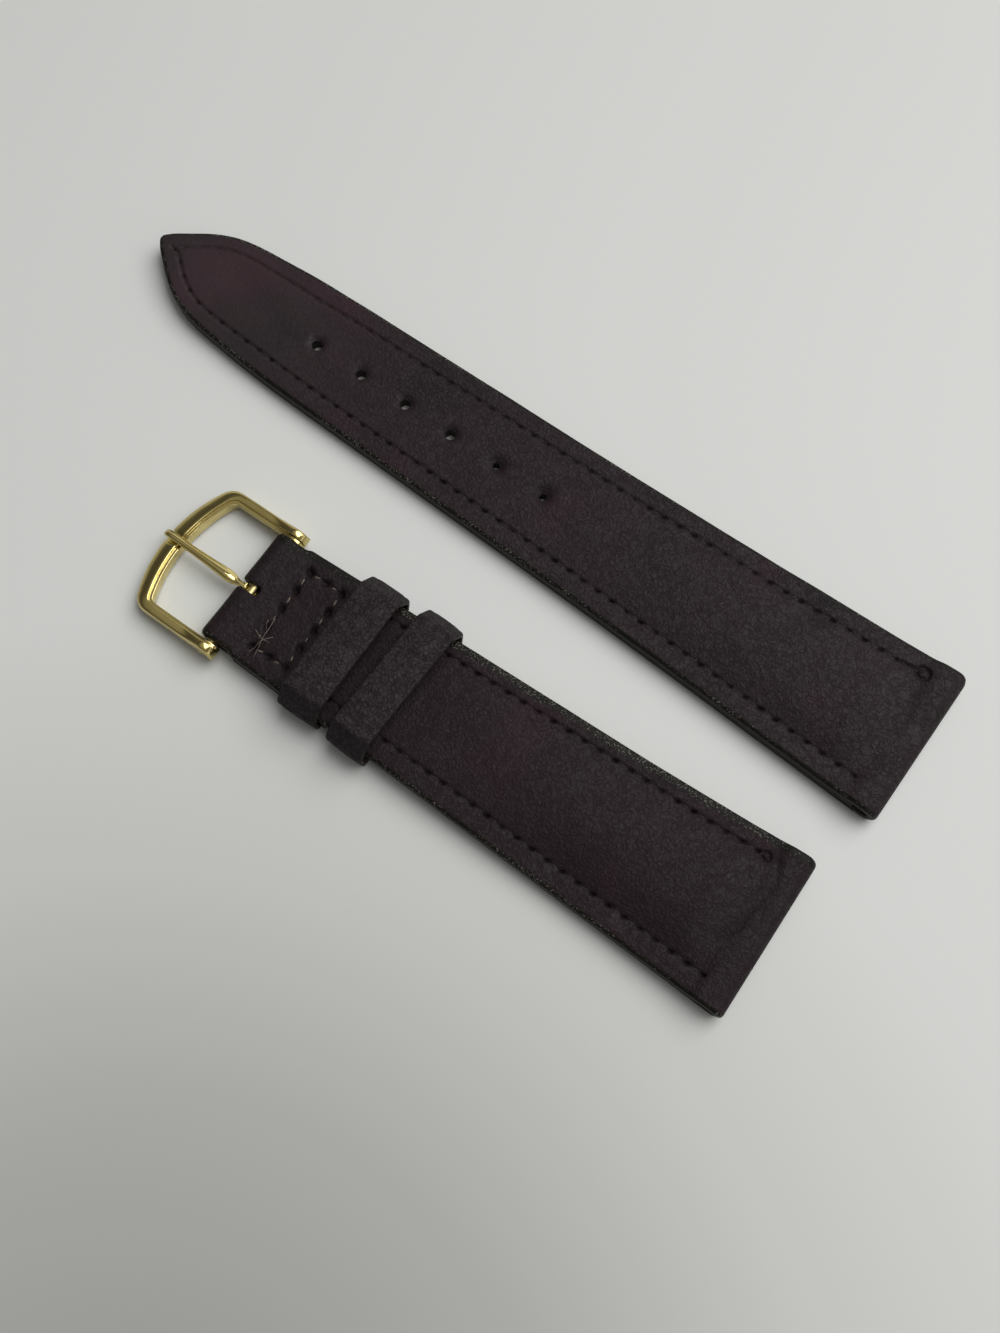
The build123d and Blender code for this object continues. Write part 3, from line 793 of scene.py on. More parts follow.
@dataclass
class Route:
    """The line that a sheet of leather lies along, with the way out of it.

    Attributes:
        line: Points along the outer face, in millimetres.
        across: The way across the sheet.
        outward: The way out of the sheet at the start of the line, roughly.
        ease: How far its corners are smoothed.
    """

    line: Array
    across: tuple[float, float, float]
    outward: tuple[float, float, float]
    ease: float = 0.8
    run: Array = field(init=False)
    points: Array = field(init=False)
    normals: Array = field(init=False)

    def __post_init__(self) -> None:
        """Smooth the line and find its normals."""
        step = 0.05
        dense = resample(np.asarray(self.line, float), step)
        window = max(1, int(self.ease / step)) | 1
        kernel = np.ones(window) / window
        half = window // 2
        before = 2 * dense[0] - dense[1 : half + 1][::-1]
        after = 2 * dense[-1] - dense[-half - 1 : -1][::-1]
        padded = np.concatenate([before, dense, after])
        smooth = np.stack([np.convolve(padded[:, k], kernel, "valid") for k in range(3)], 1)
        self.points = smooth
        self.run = run_along(smooth)
        normal = np.cross(np.gradient(smooth, axis=0), np.array(self.across))
        normal /= np.linalg.norm(normal, axis=1)[:, None]
        if normal[0] @ np.array(self.outward) < 0:
            normal = -normal
        self.normals = normal

    @property
    def length(self) -> float:
        """The whole length of the line."""
        return float(self.run[-1])

    def at(self, s: Array, t: Array, height: Array) -> Array:
        """Find points over the sheet.

        Args:
            s: Distances along the line.
            t: Distances across it.
            height: Heights out of it.

        Returns:
            The points in millimetres.
        """
        base = np.stack([np.interp(s, self.run, self.points[:, k]) for k in range(3)], 1)
        out = np.stack([np.interp(s, self.run, self.normals[:, k]) for k in range(3)], 1)
        out /= np.linalg.norm(out, axis=1)[:, None]
        return base + np.outer(t, self.across) + out * np.asarray(height)[:, None]


@dataclass
class Placement:
    """Where one half lies: its watch end's place and its turn about the vertical."""

    x: float
    y: float
    turn: float = 0.0

    def world(self, points: Array) -> Array:
        """Move points from a half's own frame to the shared one.

        Args:
            points: Points in millimetres, with the watch end at zero.

        Returns:
            Points in metres.
        """
        c, s = math.cos(math.radians(self.turn)), math.sin(math.radians(self.turn))
        x = points[:, 0] * c - points[:, 1] * s + self.x
        y = points[:, 0] * s + points[:, 1] * c + self.y
        return np.stack([x, y, points[:, 2]], 1) * MM


def build_object(
    name: str,
    vertices: Array,
    faces: Sequence[Sequence[int]],
    slots: Sequence[int],
    materials: Sequence[Material],
) -> Piece:
    """Make a smooth-shaded object.

    Args:
        name: The piece's name.
        vertices: Its points in metres.
        faces: Its faces.
        slots: Each face's material slot.
        materials: The materials in slot order.

    Returns:
        The object, linked into the scene.
    """
    mesh = bpy.data.meshes.new(name)
    mesh.from_pydata([tuple(v) for v in vertices], [], [tuple(int(i) for i in f) for f in faces])
    for material in materials:
        mesh.materials.append(material)
    mesh.polygons.foreach_set("material_index", np.asarray(slots, np.int32))
    mesh.polygons.foreach_set("use_smooth", np.ones(len(faces), bool))
    mesh.update()
    piece = bpy.data.objects.new(name, mesh)
    bpy.context.collection.objects.link(piece)
    return piece


def skin_rings(rings: Sequence[Array]) -> Tube:
    """Join rings of points into a skin with closed ends.

    Args:
        rings: The rings, all of the same count.

    Returns:
        The vertices and the faces.
    """
    count = len(rings[0])
    faces: list[tuple[int, ...]] = []
    for first in range(0, (len(rings) - 1) * count, count):
        for i in range(count):
            j = (i + 1) % count
            faces.append((first + i, first + j, first + count + j, first + count + i))
    faces.append(tuple(range(count))[::-1])
    faces.append(tuple((len(rings) - 1) * count + i for i in range(count)))
    return np.concatenate(rings), faces


def triangulate(loops: Sequence[Array], extra: Array) -> tuple[Array, Array, list[Array]]:
    """Fill a flat outline, less its holes, with triangles.

    Args:
        loops: The outline and then the holes, each a closed loop.
        extra: More points inside.

    Returns:
        The points, the triangles, and where each loop's points went.
    """
    starts = np.cumsum([0] + [len(loop) for loop in loops])
    points = np.concatenate([*loops, extra]) if len(extra) else np.concatenate(loops)
    edges = [(a + k, a + (k + 1) % len(loop)) for a, loop in zip(starts, loops) for k in range(len(loop))]
    verts, _, faces, origin, _, _ = delaunay_2d_cdt([Vector(p) for p in points], edges, [], 0, 1e-6)
    flat = np.array([tuple(v) for v in verts])
    went = np.full(len(points), -1)
    for index, sources in enumerate(origin):
        went[list(sources)] = index
    tris = np.array(faces)
    centre = flat[tris].mean(1)
    keep = inside(centre, loops[0])
    for hole in loops[1:]:
        near = np.flatnonzero(np.abs(centre - hole.mean(0)).max(1) < np.ptp(hole, axis=0).max())
        keep[near] &= ~inside(centre[near], hole)
    corners = flat[tris]
    area = np.cross(corners[:, 1] - corners[:, 0], corners[:, 2] - corners[:, 0])
    keep &= np.abs(area) > 1e-9
    tris[area < 0] = tris[area < 0][:, ::-1]
    return flat, tris[keep], [went[a:b] for a, b in zip(starts, starts[1:])]


@dataclass
class Sheet:
    """A sheet of leather, cut flat and laid along a route.

    Attributes:
        name: The piece's name.
        route: What its outer face follows.
        outline: Its cut edge in the flat, counter-clockwise.
        thickness: Its thickness along the route.
        holes: Loops cut out of it.
        relief: The height worked into its outer face.
        fold_shade: Painted shade drawn on its outer face where it folds, from 0 to 1.
        rows: The stitches sewn through it, beside which the mesh is fine.
        lift: How far out of the route its outer face lies, along the route.
        edge_drop: How far the rim is rounded down.
        edge_reach: How far in from the rim the rounding starts.
        bulge: How far the painted edge stands out.
        lap: How far the edge paint laps over the face, where t is under zero and over it.
        hole_drop: How far a hole's rim is rounded down.
        hole_reach: How far out from a hole's rim the rounding starts.
        step: The mesh size in the field.
        fine_step: The mesh size beside the stitches.
        fine_reach: How far from the stitches the fine mesh reaches.
        shade_full_depth: The depth of stitches and creases at which their painted shade, with wax, is
            darkest.
        rim_rings: Where the rim's rounding has rings of points, as shares of its reach.
        hole_rings: The same for the holes' rims.
        edge_rings: Where the cut edge has rings of points, as shares of its height.
        clear: How far from the rims the field's points keep, as a multiple of their reach.
        inner_step: The mesh size of the inner face, along and across.
        inner_clear: How far its points keep from the outline and from the holes.
    """

    name: str
    route: Route
    outline: Array
    thickness: Callable[[Array], Array]
    holes: Sequence[Array] = ()
    relief: Optional[HeightMap] = None
    fold_shade: Optional[HeightMap] = None
    rows: Sequence["Stitching"] = ()
    lift: Optional[Callable[[Array], Array]] = None
    edge_drop: float = 0.3
    edge_reach: float = 0.5
    bulge: float = 0.06
    lap: tuple[float, float] = (0.22, 0.22)
    hole_drop: float = 0.12
    hole_reach: float = 0.3
    step: float = 0.4
    fine_step: float = 0.14
    fine_reach: float = 0.75
    shade_full_depth: float = 0.35
    rim_rings: tuple[float, ...] = (0.06, 0.18, 0.38, 0.65, 1.0)
    hole_rings: tuple[float, ...] = (0.15, 0.45, 1.0)
    edge_rings: tuple[float, ...] = (0.12, 0.3, 0.5, 0.7, 0.88)
    clear: float = 1.05
    inner_step: tuple[float, float] = (0.8, 1.6)
    inner_clear: tuple[float, float] = (0.4, 0.3)

    def base(self, s: Array) -> Array:
        """How far out of the route its outer face lies, less all that is worked into it."""
        return self.lift(s) if self.lift else np.zeros(len(s))

    def underside(self, s: Array) -> Array:
        """The inner face's height over the route."""
        return self.base(s) - self.thickness(s)

    def height(self, points: Array) -> Array:
        """The outer face's height over the route.

        Args:
            points: Points in the flat.

        Returns:
            Their heights.
        """
        level = self.base(points[:, 0])
        if self.relief:
            level = level + self.relief(points[:, 0], points[:, 1])
        level = level - self.sewn(points)
        rims = [(self.outline, self.edge_drop, self.edge_reach)]
        rims += [(hole, self.hole_drop, self.hole_reach) for hole in self.holes]
        for loop, drop, reach in rims:
            near = boxed(points, loop, reach)
            gap = np.clip(distance_to(points[near], loop, True) / reach, 0, 1)
            level[near] -= drop * (1 - np.sqrt(np.clip(1 - (1 - gap) ** 2, 0, 1)))
        return level

    def sewn(self, points: Array) -> Array:
        """How deep the stitches pull the face in, at points in the flat."""
        depth = np.zeros(len(points))
        for row in self.rows:
            depth = np.maximum(depth, -row.worked(points))
        return depth

    def scatter(self) -> Array:
        """Lay out the points of the field and the finer ones that the work needs.

        Returns:
            Points inside the outline.
        """
        coarse = 1.0
        low, high = self.outline.min(0), self.outline.max(0)

        def lattice(step: float) -> Array:
            rows = np.arange(low[1], high[1], step * TRIANGLE_HEIGHT)
            cols = np.arange(low[0], high[0], step)
            grid = np.stack(np.meshgrid(cols, rows), -1)
            grid[1::2, :, 0] += step / 2
            return grid.reshape(-1, 2)

        field_points = lattice(self.step * coarse)
        field_points = field_points[inside(field_points, self.outline)]
        sets = []
        if len(self.rows):
            close = lattice(self.fine_step * coarse)
            close = close[inside(close, self.outline)]
            gap = np.full(len(close), 9.0)
            far = np.full(len(field_points), 9.0)
            for row in self.rows:
                gap = np.minimum(gap, distance_to(close, row.path))
                far = np.minimum(far, distance_to(field_points, row.path))
            sets.append(close[gap < self.fine_reach])
            field_points = field_points[far >= self.fine_reach]
        sets.append(field_points)
        points = np.concatenate(sets)
        keep = distance_to(points, self.outline, True) > self.edge_reach * self.clear
        for hole in self.holes:
            spot = boxed(points, hole, 0.5)
            close_by = distance_to(points[spot], hole, True) < self.hole_reach * self.clear
            keep[spot[inside(points[spot], hole) | close_by]] = False
        rings = [points[keep]]
        rings += [shrunk(self.outline, self.edge_reach * k) for k in self.rim_rings]
        for hole in self.holes:
            rings += [shrunk(hole, -self.hole_reach * k) for k in self.hole_rings]
        return np.concatenate(rings)

    def scatter_inner(self) -> Array:
        """Lay out the points of the inner face, clear of its edges."""
        spans = zip(self.outline.min(0), self.outline.max(0), self.inner_step)
        grid = np.stack(np.meshgrid(*[np.arange(*span) for span in spans]), -1).reshape(-1, 2)
        from_rim, from_hole = self.inner_clear
        grid = grid[inside(grid, self.outline)]
        grid = grid[distance_to(grid, self.outline, True) > from_rim]
        for hole in self.holes:
            grid = grid[~inside(grid, hole) & (distance_to(grid, hole, True) > from_hole)]
        return grid

    def build(self, place: Placement, materials: Sequence[Material]) -> Piece:
        """Make the sheet: its outer face, its cut edges and its inner face.

        Args:
            place: Where its half lies.
            materials: Grain, edge and flesh materials.

        Returns:
            The finished object.
        """
        loops = [self.outline, *self.holes]
        flat, tris, outer_ids = triangulate(loops, self.scatter())
        height = self.height(flat)
        points = [self.route.at(flat[:, 0], flat[:, 1], height)]
        middle = flat[tris].mean(1)
        painted = distance_to(middle, self.outline, True) < np.where(middle[:, 1] < 0, *self.lap)
        faces, slots = [tris], [np.where(painted, Face.RIM.value, Face.GRAIN.value)]
        inner_start = len(flat)
        inner_flat, inner_tris, inner_ids = triangulate(loops, self.scatter_inner())
        inner_height = self.underside(inner_flat[:, 0])
        points.append(self.route.at(inner_flat[:, 0], inner_flat[:, 1], inner_height))
        faces.append(inner_tris[:, ::-1] + inner_start)
        slots.append(np.full(len(inner_tris), Face.FLESH.value))
        count = inner_start + len(inner_flat)
        for number, (loop, top, bottom) in enumerate(zip(loops, outer_ids, inner_ids)):
            size = self.bulge if number == 0 else 0.0
            high_side, low_side = height[top], self.underside(loop[:, 0])
            previous = top
            for share in self.edge_rings:
                swell = size * math.sin(math.pi * share) ** 0.6
                spot = loop + outward(loop) * swell
                level = high_side + (low_side - high_side) * share
                points.append(self.route.at(spot[:, 0], spot[:, 1], level))
                ring = np.arange(count, count + len(loop))
                faces.append(band(previous, ring))
                slots.append(np.full(2 * len(loop), Face.EDGE.value))
                previous = ring
                count += len(loop)
            faces.append(band(previous, bottom + inner_start))
            slots.append(np.full(2 * len(loop), Face.EDGE.value))
        all_points = np.concatenate(points)
        all_faces = np.concatenate(faces)
        if self.flipped():
            all_faces = all_faces[:, ::-1]
        slots = np.concatenate(slots)
        piece = build_object(self.name, place.world(all_points), all_faces, slots, materials)
        shade_and_wax = np.zeros(len(all_points), np.float32)
        outer = shade_and_wax[: len(flat)]
        # Painted shade, with some wax, in the stitch pits, the channel and the creases: the deeper, the
        # darker.
        outer[:] = np.clip(self.sewn(flat) / self.shade_full_depth, 0, 1)
        # Painted shade at the folds of a keeper.
        if self.fold_shade:
            outer[:] = np.maximum(outer, self.fold_shade(flat[:, 0], flat[:, 1]))
        piece.data.attributes.new("shade_and_wax", "FLOAT", "POINT").data.foreach_set("value", shade_and_wax)
        return piece

    def flipped(self) -> bool:
        """Whether the flat's own way round faces into the leather on this route."""
        start = self.route.points[1] - self.route.points[0]
        return bool(np.cross(start, np.array(self.route.across)) @ self.route.normals[0] < 0)


def shrunk(loop: Array, amount: float) -> Array:
    """Move every point of a loop inwards along its own normal.

    Args:
        loop: The loop, counter-clockwise.
        amount: How far, or outwards where it is under zero.

    Returns:
        The moved points.
    """
    return loop - outward(loop) * amount


def outward(loop: Array) -> Array:
    """The way out at each point of a counter-clockwise loop."""
    along = np.roll(loop, -1, 0) - np.roll(loop, 1, 0)
    along /= np.maximum(np.linalg.norm(along, axis=1), 1e-9)[:, None]
    return np.stack([along[:, 1], -along[:, 0]], 1)


def band(upper: Array, lower: Array) -> Array:
    """Triangles between two closed rings of the same count.

    Args:
        upper: The first ring's points.
        lower: The second ring's points.

    Returns:
        The triangles.
    """
    a, b = upper, np.roll(upper, -1)
    c, d = np.roll(lower, -1), lower
    return np.concatenate([np.stack([a, c, b], 1), np.stack([a, d, c], 1)])


def circle_loop(centre: tuple[float, float], radius: float, count: int = 28) -> Array:
    """A round loop.

    Args:
        centre: Its middle.
        radius: Its radius.
        count: How many points it has.

    Returns:
        The points, counter-clockwise.
    """
    turn = full_turn(count)
    return np.stack([centre[0] + radius * np.cos(turn), centre[1] + radius * np.sin(turn)], 1)


@dataclass
class Stitching:
    """A row of lock stitches, with the pits and the channel that it pulls into the leather.

    Attributes:
        path: The row's line in the flat.
        pitch: About how long a stitch is.
        pit_lean: How far the pits lean over, as the awl's cuts do.
        slant: How far each stitch is turned off the row's line.
        force: How hard the stitches pull at a place in the flat, or evenly where it is None.
        holes: The needle's holes.
        pulls: How hard each hole is pulled in.
        along: The way of each stitch.
    """

    path: Array
    pitch: float = 2.08
    channel_depth: float = 0.13
    channel_width: float = 0.25
    pit_depth: float = 0.42
    pit_length: float = 0.34
    pit_radius: float = 0.17
    pit_lean: float = 0.35
    slant: float = 0.12
    force: Optional[HeightMap] = None
    holes: Array = field(init=False)
    pulls: Array = field(init=False)
    along: Array = field(init=False)

    def __post_init__(self) -> None:
        """Place the needle's holes along the path."""
        run = run_along(self.path)
        count = int(round(run[-1] / self.pitch))
        even = np.linspace(0, run[-1], count + 1)
        self.holes = np.stack([np.interp(even, run, self.path[:, k]) for k in (0, 1)], 1)
        draw = np.random.default_rng(len(self.holes))
        self.pulls = draw.uniform(0.6, 1.1, len(self.holes))
        if self.force:
            self.pulls = self.pulls * self.force(self.holes[:, 0], self.holes[:, 1])
        ahead = np.diff(self.holes, axis=0)
        self.along = ahead / np.linalg.norm(ahead, axis=1)[:, None]

    def worked(self, points: Array) -> Array:
        """The height that the sewing takes off the leather, zero or less, at points in the flat."""
        drop = valley(points, self.path, self.channel_depth, self.channel_width)
        near = boxed(points, self.path, self.channel_width * 3)
        for index, hole in enumerate(self.holes):
            way = self.along[min(index, len(self.along) - 1)]
            spot = near[(np.abs(points[near] - hole) < self.pit_length * 3).all(1)]
            off = points[spot] - hole
            lengthwise = off @ way
            sideways = off @ np.array([-way[1], way[0]]) + self.pit_lean * lengthwise
            dent = np.exp(-((lengthwise / self.pit_length) ** 2 + (sideways / self.pit_radius) ** 2))
            drop[spot] -= self.pit_depth * self.pulls[index] * dent
        return drop


@dataclass
class Groove:
    """A crease or a ring pressed into the leather."""

    path: Array
    depth: float = 0.14
    width: float = 0.2
    closed: bool = False

    def worked(self, points: Array) -> Array:
        """The height that it takes off the leather, zero or less, at points in the flat."""
        return valley(points, self.path, self.depth, self.width, self.closed)


@dataclass
class Thread:
    """The thread of a row of stitches, as it shows on one face of the leather.

    Attributes:
        radius: The thread's radius.
        sides: How many sides its tubes have.
        rings: How many rings each stitch has.
        plies: How many plies show.
        proud: How far its middle stands out of the leather's face.
        sink: How deep its ends go down.
        grip: How far in from its holes a stitch starts, as a share of its length.
        twist: How fast the plies turn, in radians to the millimetre.
    """

    radius: float = 0.17
    sides: int = 10
    rings: int = 11
    plies: int = 3
    proud: float = 0.06
    sink: float = 0.42
    grip: float = 0.1
    twist: float = 2.3

    def tubes(self, sheet: Sheet, row: Stitching) -> list[Tube]:
        """Make each stitch's tube.

        Args:
            sheet: The leather that it lies on.
            row: The stitches.

        Returns:
            The tubes.
        """
        draw = np.random.default_rng(len(row.holes) * 7 + int(abs(row.holes[0][1]) * 10))
        share = np.linspace(0, 1, self.rings)
        made = []
        for first, last, way in zip(row.holes, row.holes[1:], row.along):
            start, end = first + (last - first) * self.grip, last - (last - first) * self.grip
            side = np.array([-way[1], way[0]])
            lean = row.slant + draw.uniform(-0.05, 0.05)
            plan = start + np.outer(share, end - start) + np.outer((share - 0.5) * -2 * lean, side)
            straight = [np.interp(share, [0, 1], [start[k], end[k]]) for k in (0, 1)]
            level = sheet.height(np.stack(straight, 1))
            middle = float(level[len(level) // 3 : -len(level) // 3].mean())
            rise = middle + self.proud - self.radius * 0.9
            arch = np.clip(np.sin(math.pi * share), 0, 1) ** 0.5
            height = rise - self.sink * (1 - arch) + draw.uniform(-0.02, 0.02)
            centre = sheet.route.at(plan[:, 0], plan[:, 1], height)
            size = self.radius * (0.72 + 0.28 * np.sin(math.pi * share) ** 0.7) * draw.uniform(0.92, 1.06)
            made.append(
                twisted_tube(centre, size, self.sides, self.plies, draw.uniform(0, 6.28), self.twist)
            )
        return made


def twisted_tube(
    centre: Array, radii: Array, sides: int, plies: int, phase: float, turns_per_mm: float
) -> Tube:
    """A tube round a line, with the swell of its plies.

    Args:
        centre: The line's points.
        radii: The radius at each.
        sides: How many sides the tube has.
        plies: How many plies show.
        phase: Where the twist starts.
        turns_per_mm: How fast the plies turn, in radians.

    Returns:
        The vertices and the faces.
    """
    tangent = np.gradient(centre, axis=0)
    tangent /= np.linalg.norm(tangent, axis=1)[:, None]
    steep = abs(tangent[len(tangent) // 2][2]) >= 0.9
    up = np.array([0.0, 1.0, 0.0] if steep else [0.0, 0.0, 1.0])
    side = np.cross(tangent, up)
    side /= np.linalg.norm(side, axis=1)[:, None]
    over = np.cross(side, tangent)
    run = run_along(centre)
    turn = full_turn(sides)
    rings = []
    for point, a, b, radius, far in zip(centre, side, over, radii, run):
        swollen = radius * (1 + 0.10 * np.cos(plies * (turn - phase - far * turns_per_mm)))
        rings.append(point + np.outer(swollen * np.cos(turn), a) + np.outer(swollen * np.sin(turn), b))
    return skin_rings(rings)


def join_tubes(name: str, tubes: Sequence[Tube], place: Placement, material: Material) -> Piece:
    """Put many tubes into one object.

    Args:
        name: The piece's name.
        tubes: Vertices and faces of each.
        place: Where the half lies.
        material: What they are made of.

    Returns:
        The object.
    """
    points, faces, count = [], [], 0
    for verts, sides in tubes:
        points.append(verts)
        faces += [tuple(int(i) + count for i in side) for side in sides]
        count += len(verts)
    return build_object(name, place.world(np.concatenate(points)), faces, [0] * len(faces), [material])


# The two halves


@dataclass
class StrapHalf:
    """What both halves share: the watch end, the layers and the sewing."""

    place: Placement
    body: Body
    lug_thickness: float = 3.07
    lug_half: float = 10.0
    tunnel_end: float = 3.28
    upper_leather: float = 1.01
    lining_leather: float = 0.58
    lining_start: float = 2.22
    lining_paring: float = 1.16
    turn_in: float = 8.46
    turn_in_leather: float = 0.48
    pared_end: float = 5.0
    pared_full: float = 6.5
    pad_start: float = 4.44
    pad_full: float = 7.94
    stitch_first: float = 4.13
    stitch_inset: float = 2.54
    pad_to_stitch: float = 0.37
    end_tuck: float = 0.12
    end_tuck_reach: float = 0.6
    core_start: float = 1.06
    core_full: float = 0.85
    crown_start: float = 0.26
    crown_full: float = 1.06
    crown_end: float = 0.13
    overlap: float = 0.02

    def nose(self) -> list[tuple[float, float]]:
        """The hidden turn-in and the roll round the watch end, as distance and height."""
        radius = self.lug_thickness / 2
        line = [
            (self.turn_in, self.lining_leather),
            (self.lining_start + self.lining_paring, self.lining_leather),
            (self.lining_start, 0.0),
        ]
        for angle in np.linspace(-90, 90, 19):
            turn = math.radians(angle)
            line.append((radius - radius * math.cos(turn), radius + radius * math.sin(turn)))
        line.append((self.tunnel_end, self.lug_thickness))
        return line

    def xz_route(self, line: Sequence[tuple[float, float]], outward_z: float, ease: float = 0.8) -> Route:
        """A route along the half.

        Args:
            line: Distances from the watch end and heights.
            outward_z: Up or down at its start.
            ease: How far its corners are smoothed.

        Returns:
            The route.
        """
        points = np.array([(-d, 0.0, z) for d, z in line])
        return Route(points, (0.0, 1.0, 0.0), (0.0, 0.0, outward_z), ease)

    def along(self, route: Route, distance: Array) -> Array:
        """Distances along a route for distances from the watch end, on its outer run.

        Args:
            route: The route.
            distance: Distances from the watch end.

        Returns:
            Distances along the route.
        """
        x = -route.points[:, 0]
        front = int(np.argmin(x))
        back = front + int(np.argmax(x[front:]))
        return np.interp(distance, x[front : back + 1], route.run[front : back + 1])

    def from_watch_end(self, route: Route, s: Array) -> Array:
        """The distance from the watch end at places along a route."""
        return np.interp(s, route.run, -route.points[:, 0])

    def on_underside(self, route: Route, path: Array) -> Array:
        """A plan path in the flat of a route that only runs away from the watch end."""
        return np.stack([np.interp(path[:, 0], -route.points[:, 0], route.run), path[:, 1]], 1)

    def on_route(self, route: Route, path: Array) -> Array:
        """A plan path in the flat of the route's top."""
        return np.stack([self.along(route, path[:, 0]), path[:, 1]], 1)

    def tuck(self, d: Array) -> Array:
        """How far the edges draw in where the leather rolls round the watch end."""
        return self.end_tuck * np.exp(-((d / self.end_tuck_reach) ** 2))

    def crown(self, d: Array, y: Array) -> Array:
        """The swell of the padding."""
        level = np.interp(d, *self.crown_profile())
        half = np.maximum(self.width_at(d) - self.stitch_inset - self.pad_to_stitch, 1.0)
        return level * np.clip(1 - (np.abs(y) / half) ** 2.1, 0, 1)

    def hang(self, piece: Piece) -> None:
        """Make a piece move with this half."""
        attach(piece, self.body.value)
        LOG.info("%s: %d faces", piece.name, len(piece.data.polygons))

    def core_sheet(self, name: str, route: Route, loop: Array, holes: Sequence[Array] = ()) -> Sheet:
        """The board under the upper leather.

        Args:
            name: The piece's name.
            route: The upper leather's route.
            loop: Its cut edge in the flat.
            holes: Loops cut out of it.

        Returns:
            The sheet.
        """
        return Sheet(
            name,
            route,
            loop,
            lambda s: self.core(self.from_watch_end(route, s)) + 0.05,
            holes=holes,
            lift=lambda s: np.full_like(s, -self.upper_leather + self.overlap),
            edge_drop=0.02,
            edge_reach=0.1,
            hole_drop=0.0,
            step=1.2,
        )

    def lining_sheet(
        self,
        name: str,
        route: Route,
        loop: Array,
        rows: Sequence[Stitching],
        seed: int,
        holes: Sequence[Array] = (),
    ) -> Sheet:
        """The lining under the half, its grain side down.

        Args:
            name: The piece's name.
            route: Its route.
            loop: Its cut edge in the flat.
            rows: The stitches sewn through it.
            seed: Which unevenness it has.
            holes: Loops cut out of it.

        Returns:
            The sheet.
        """
        waves = unevenness(seed, 12.0, 0.02)
        return Sheet(
            name,
            route,
            loop,
            lambda s: np.interp(s, [0, self.lining_paring], [0.12, self.lining_leather]),
            holes=holes,
            relief=lambda s, t: waves(s, t) - self.overlap,
            rows=rows,
            edge_drop=0.14,
            edge_reach=0.3,
            bulge=0.04,
            step=0.6,
            fine_step=0.2,
        )


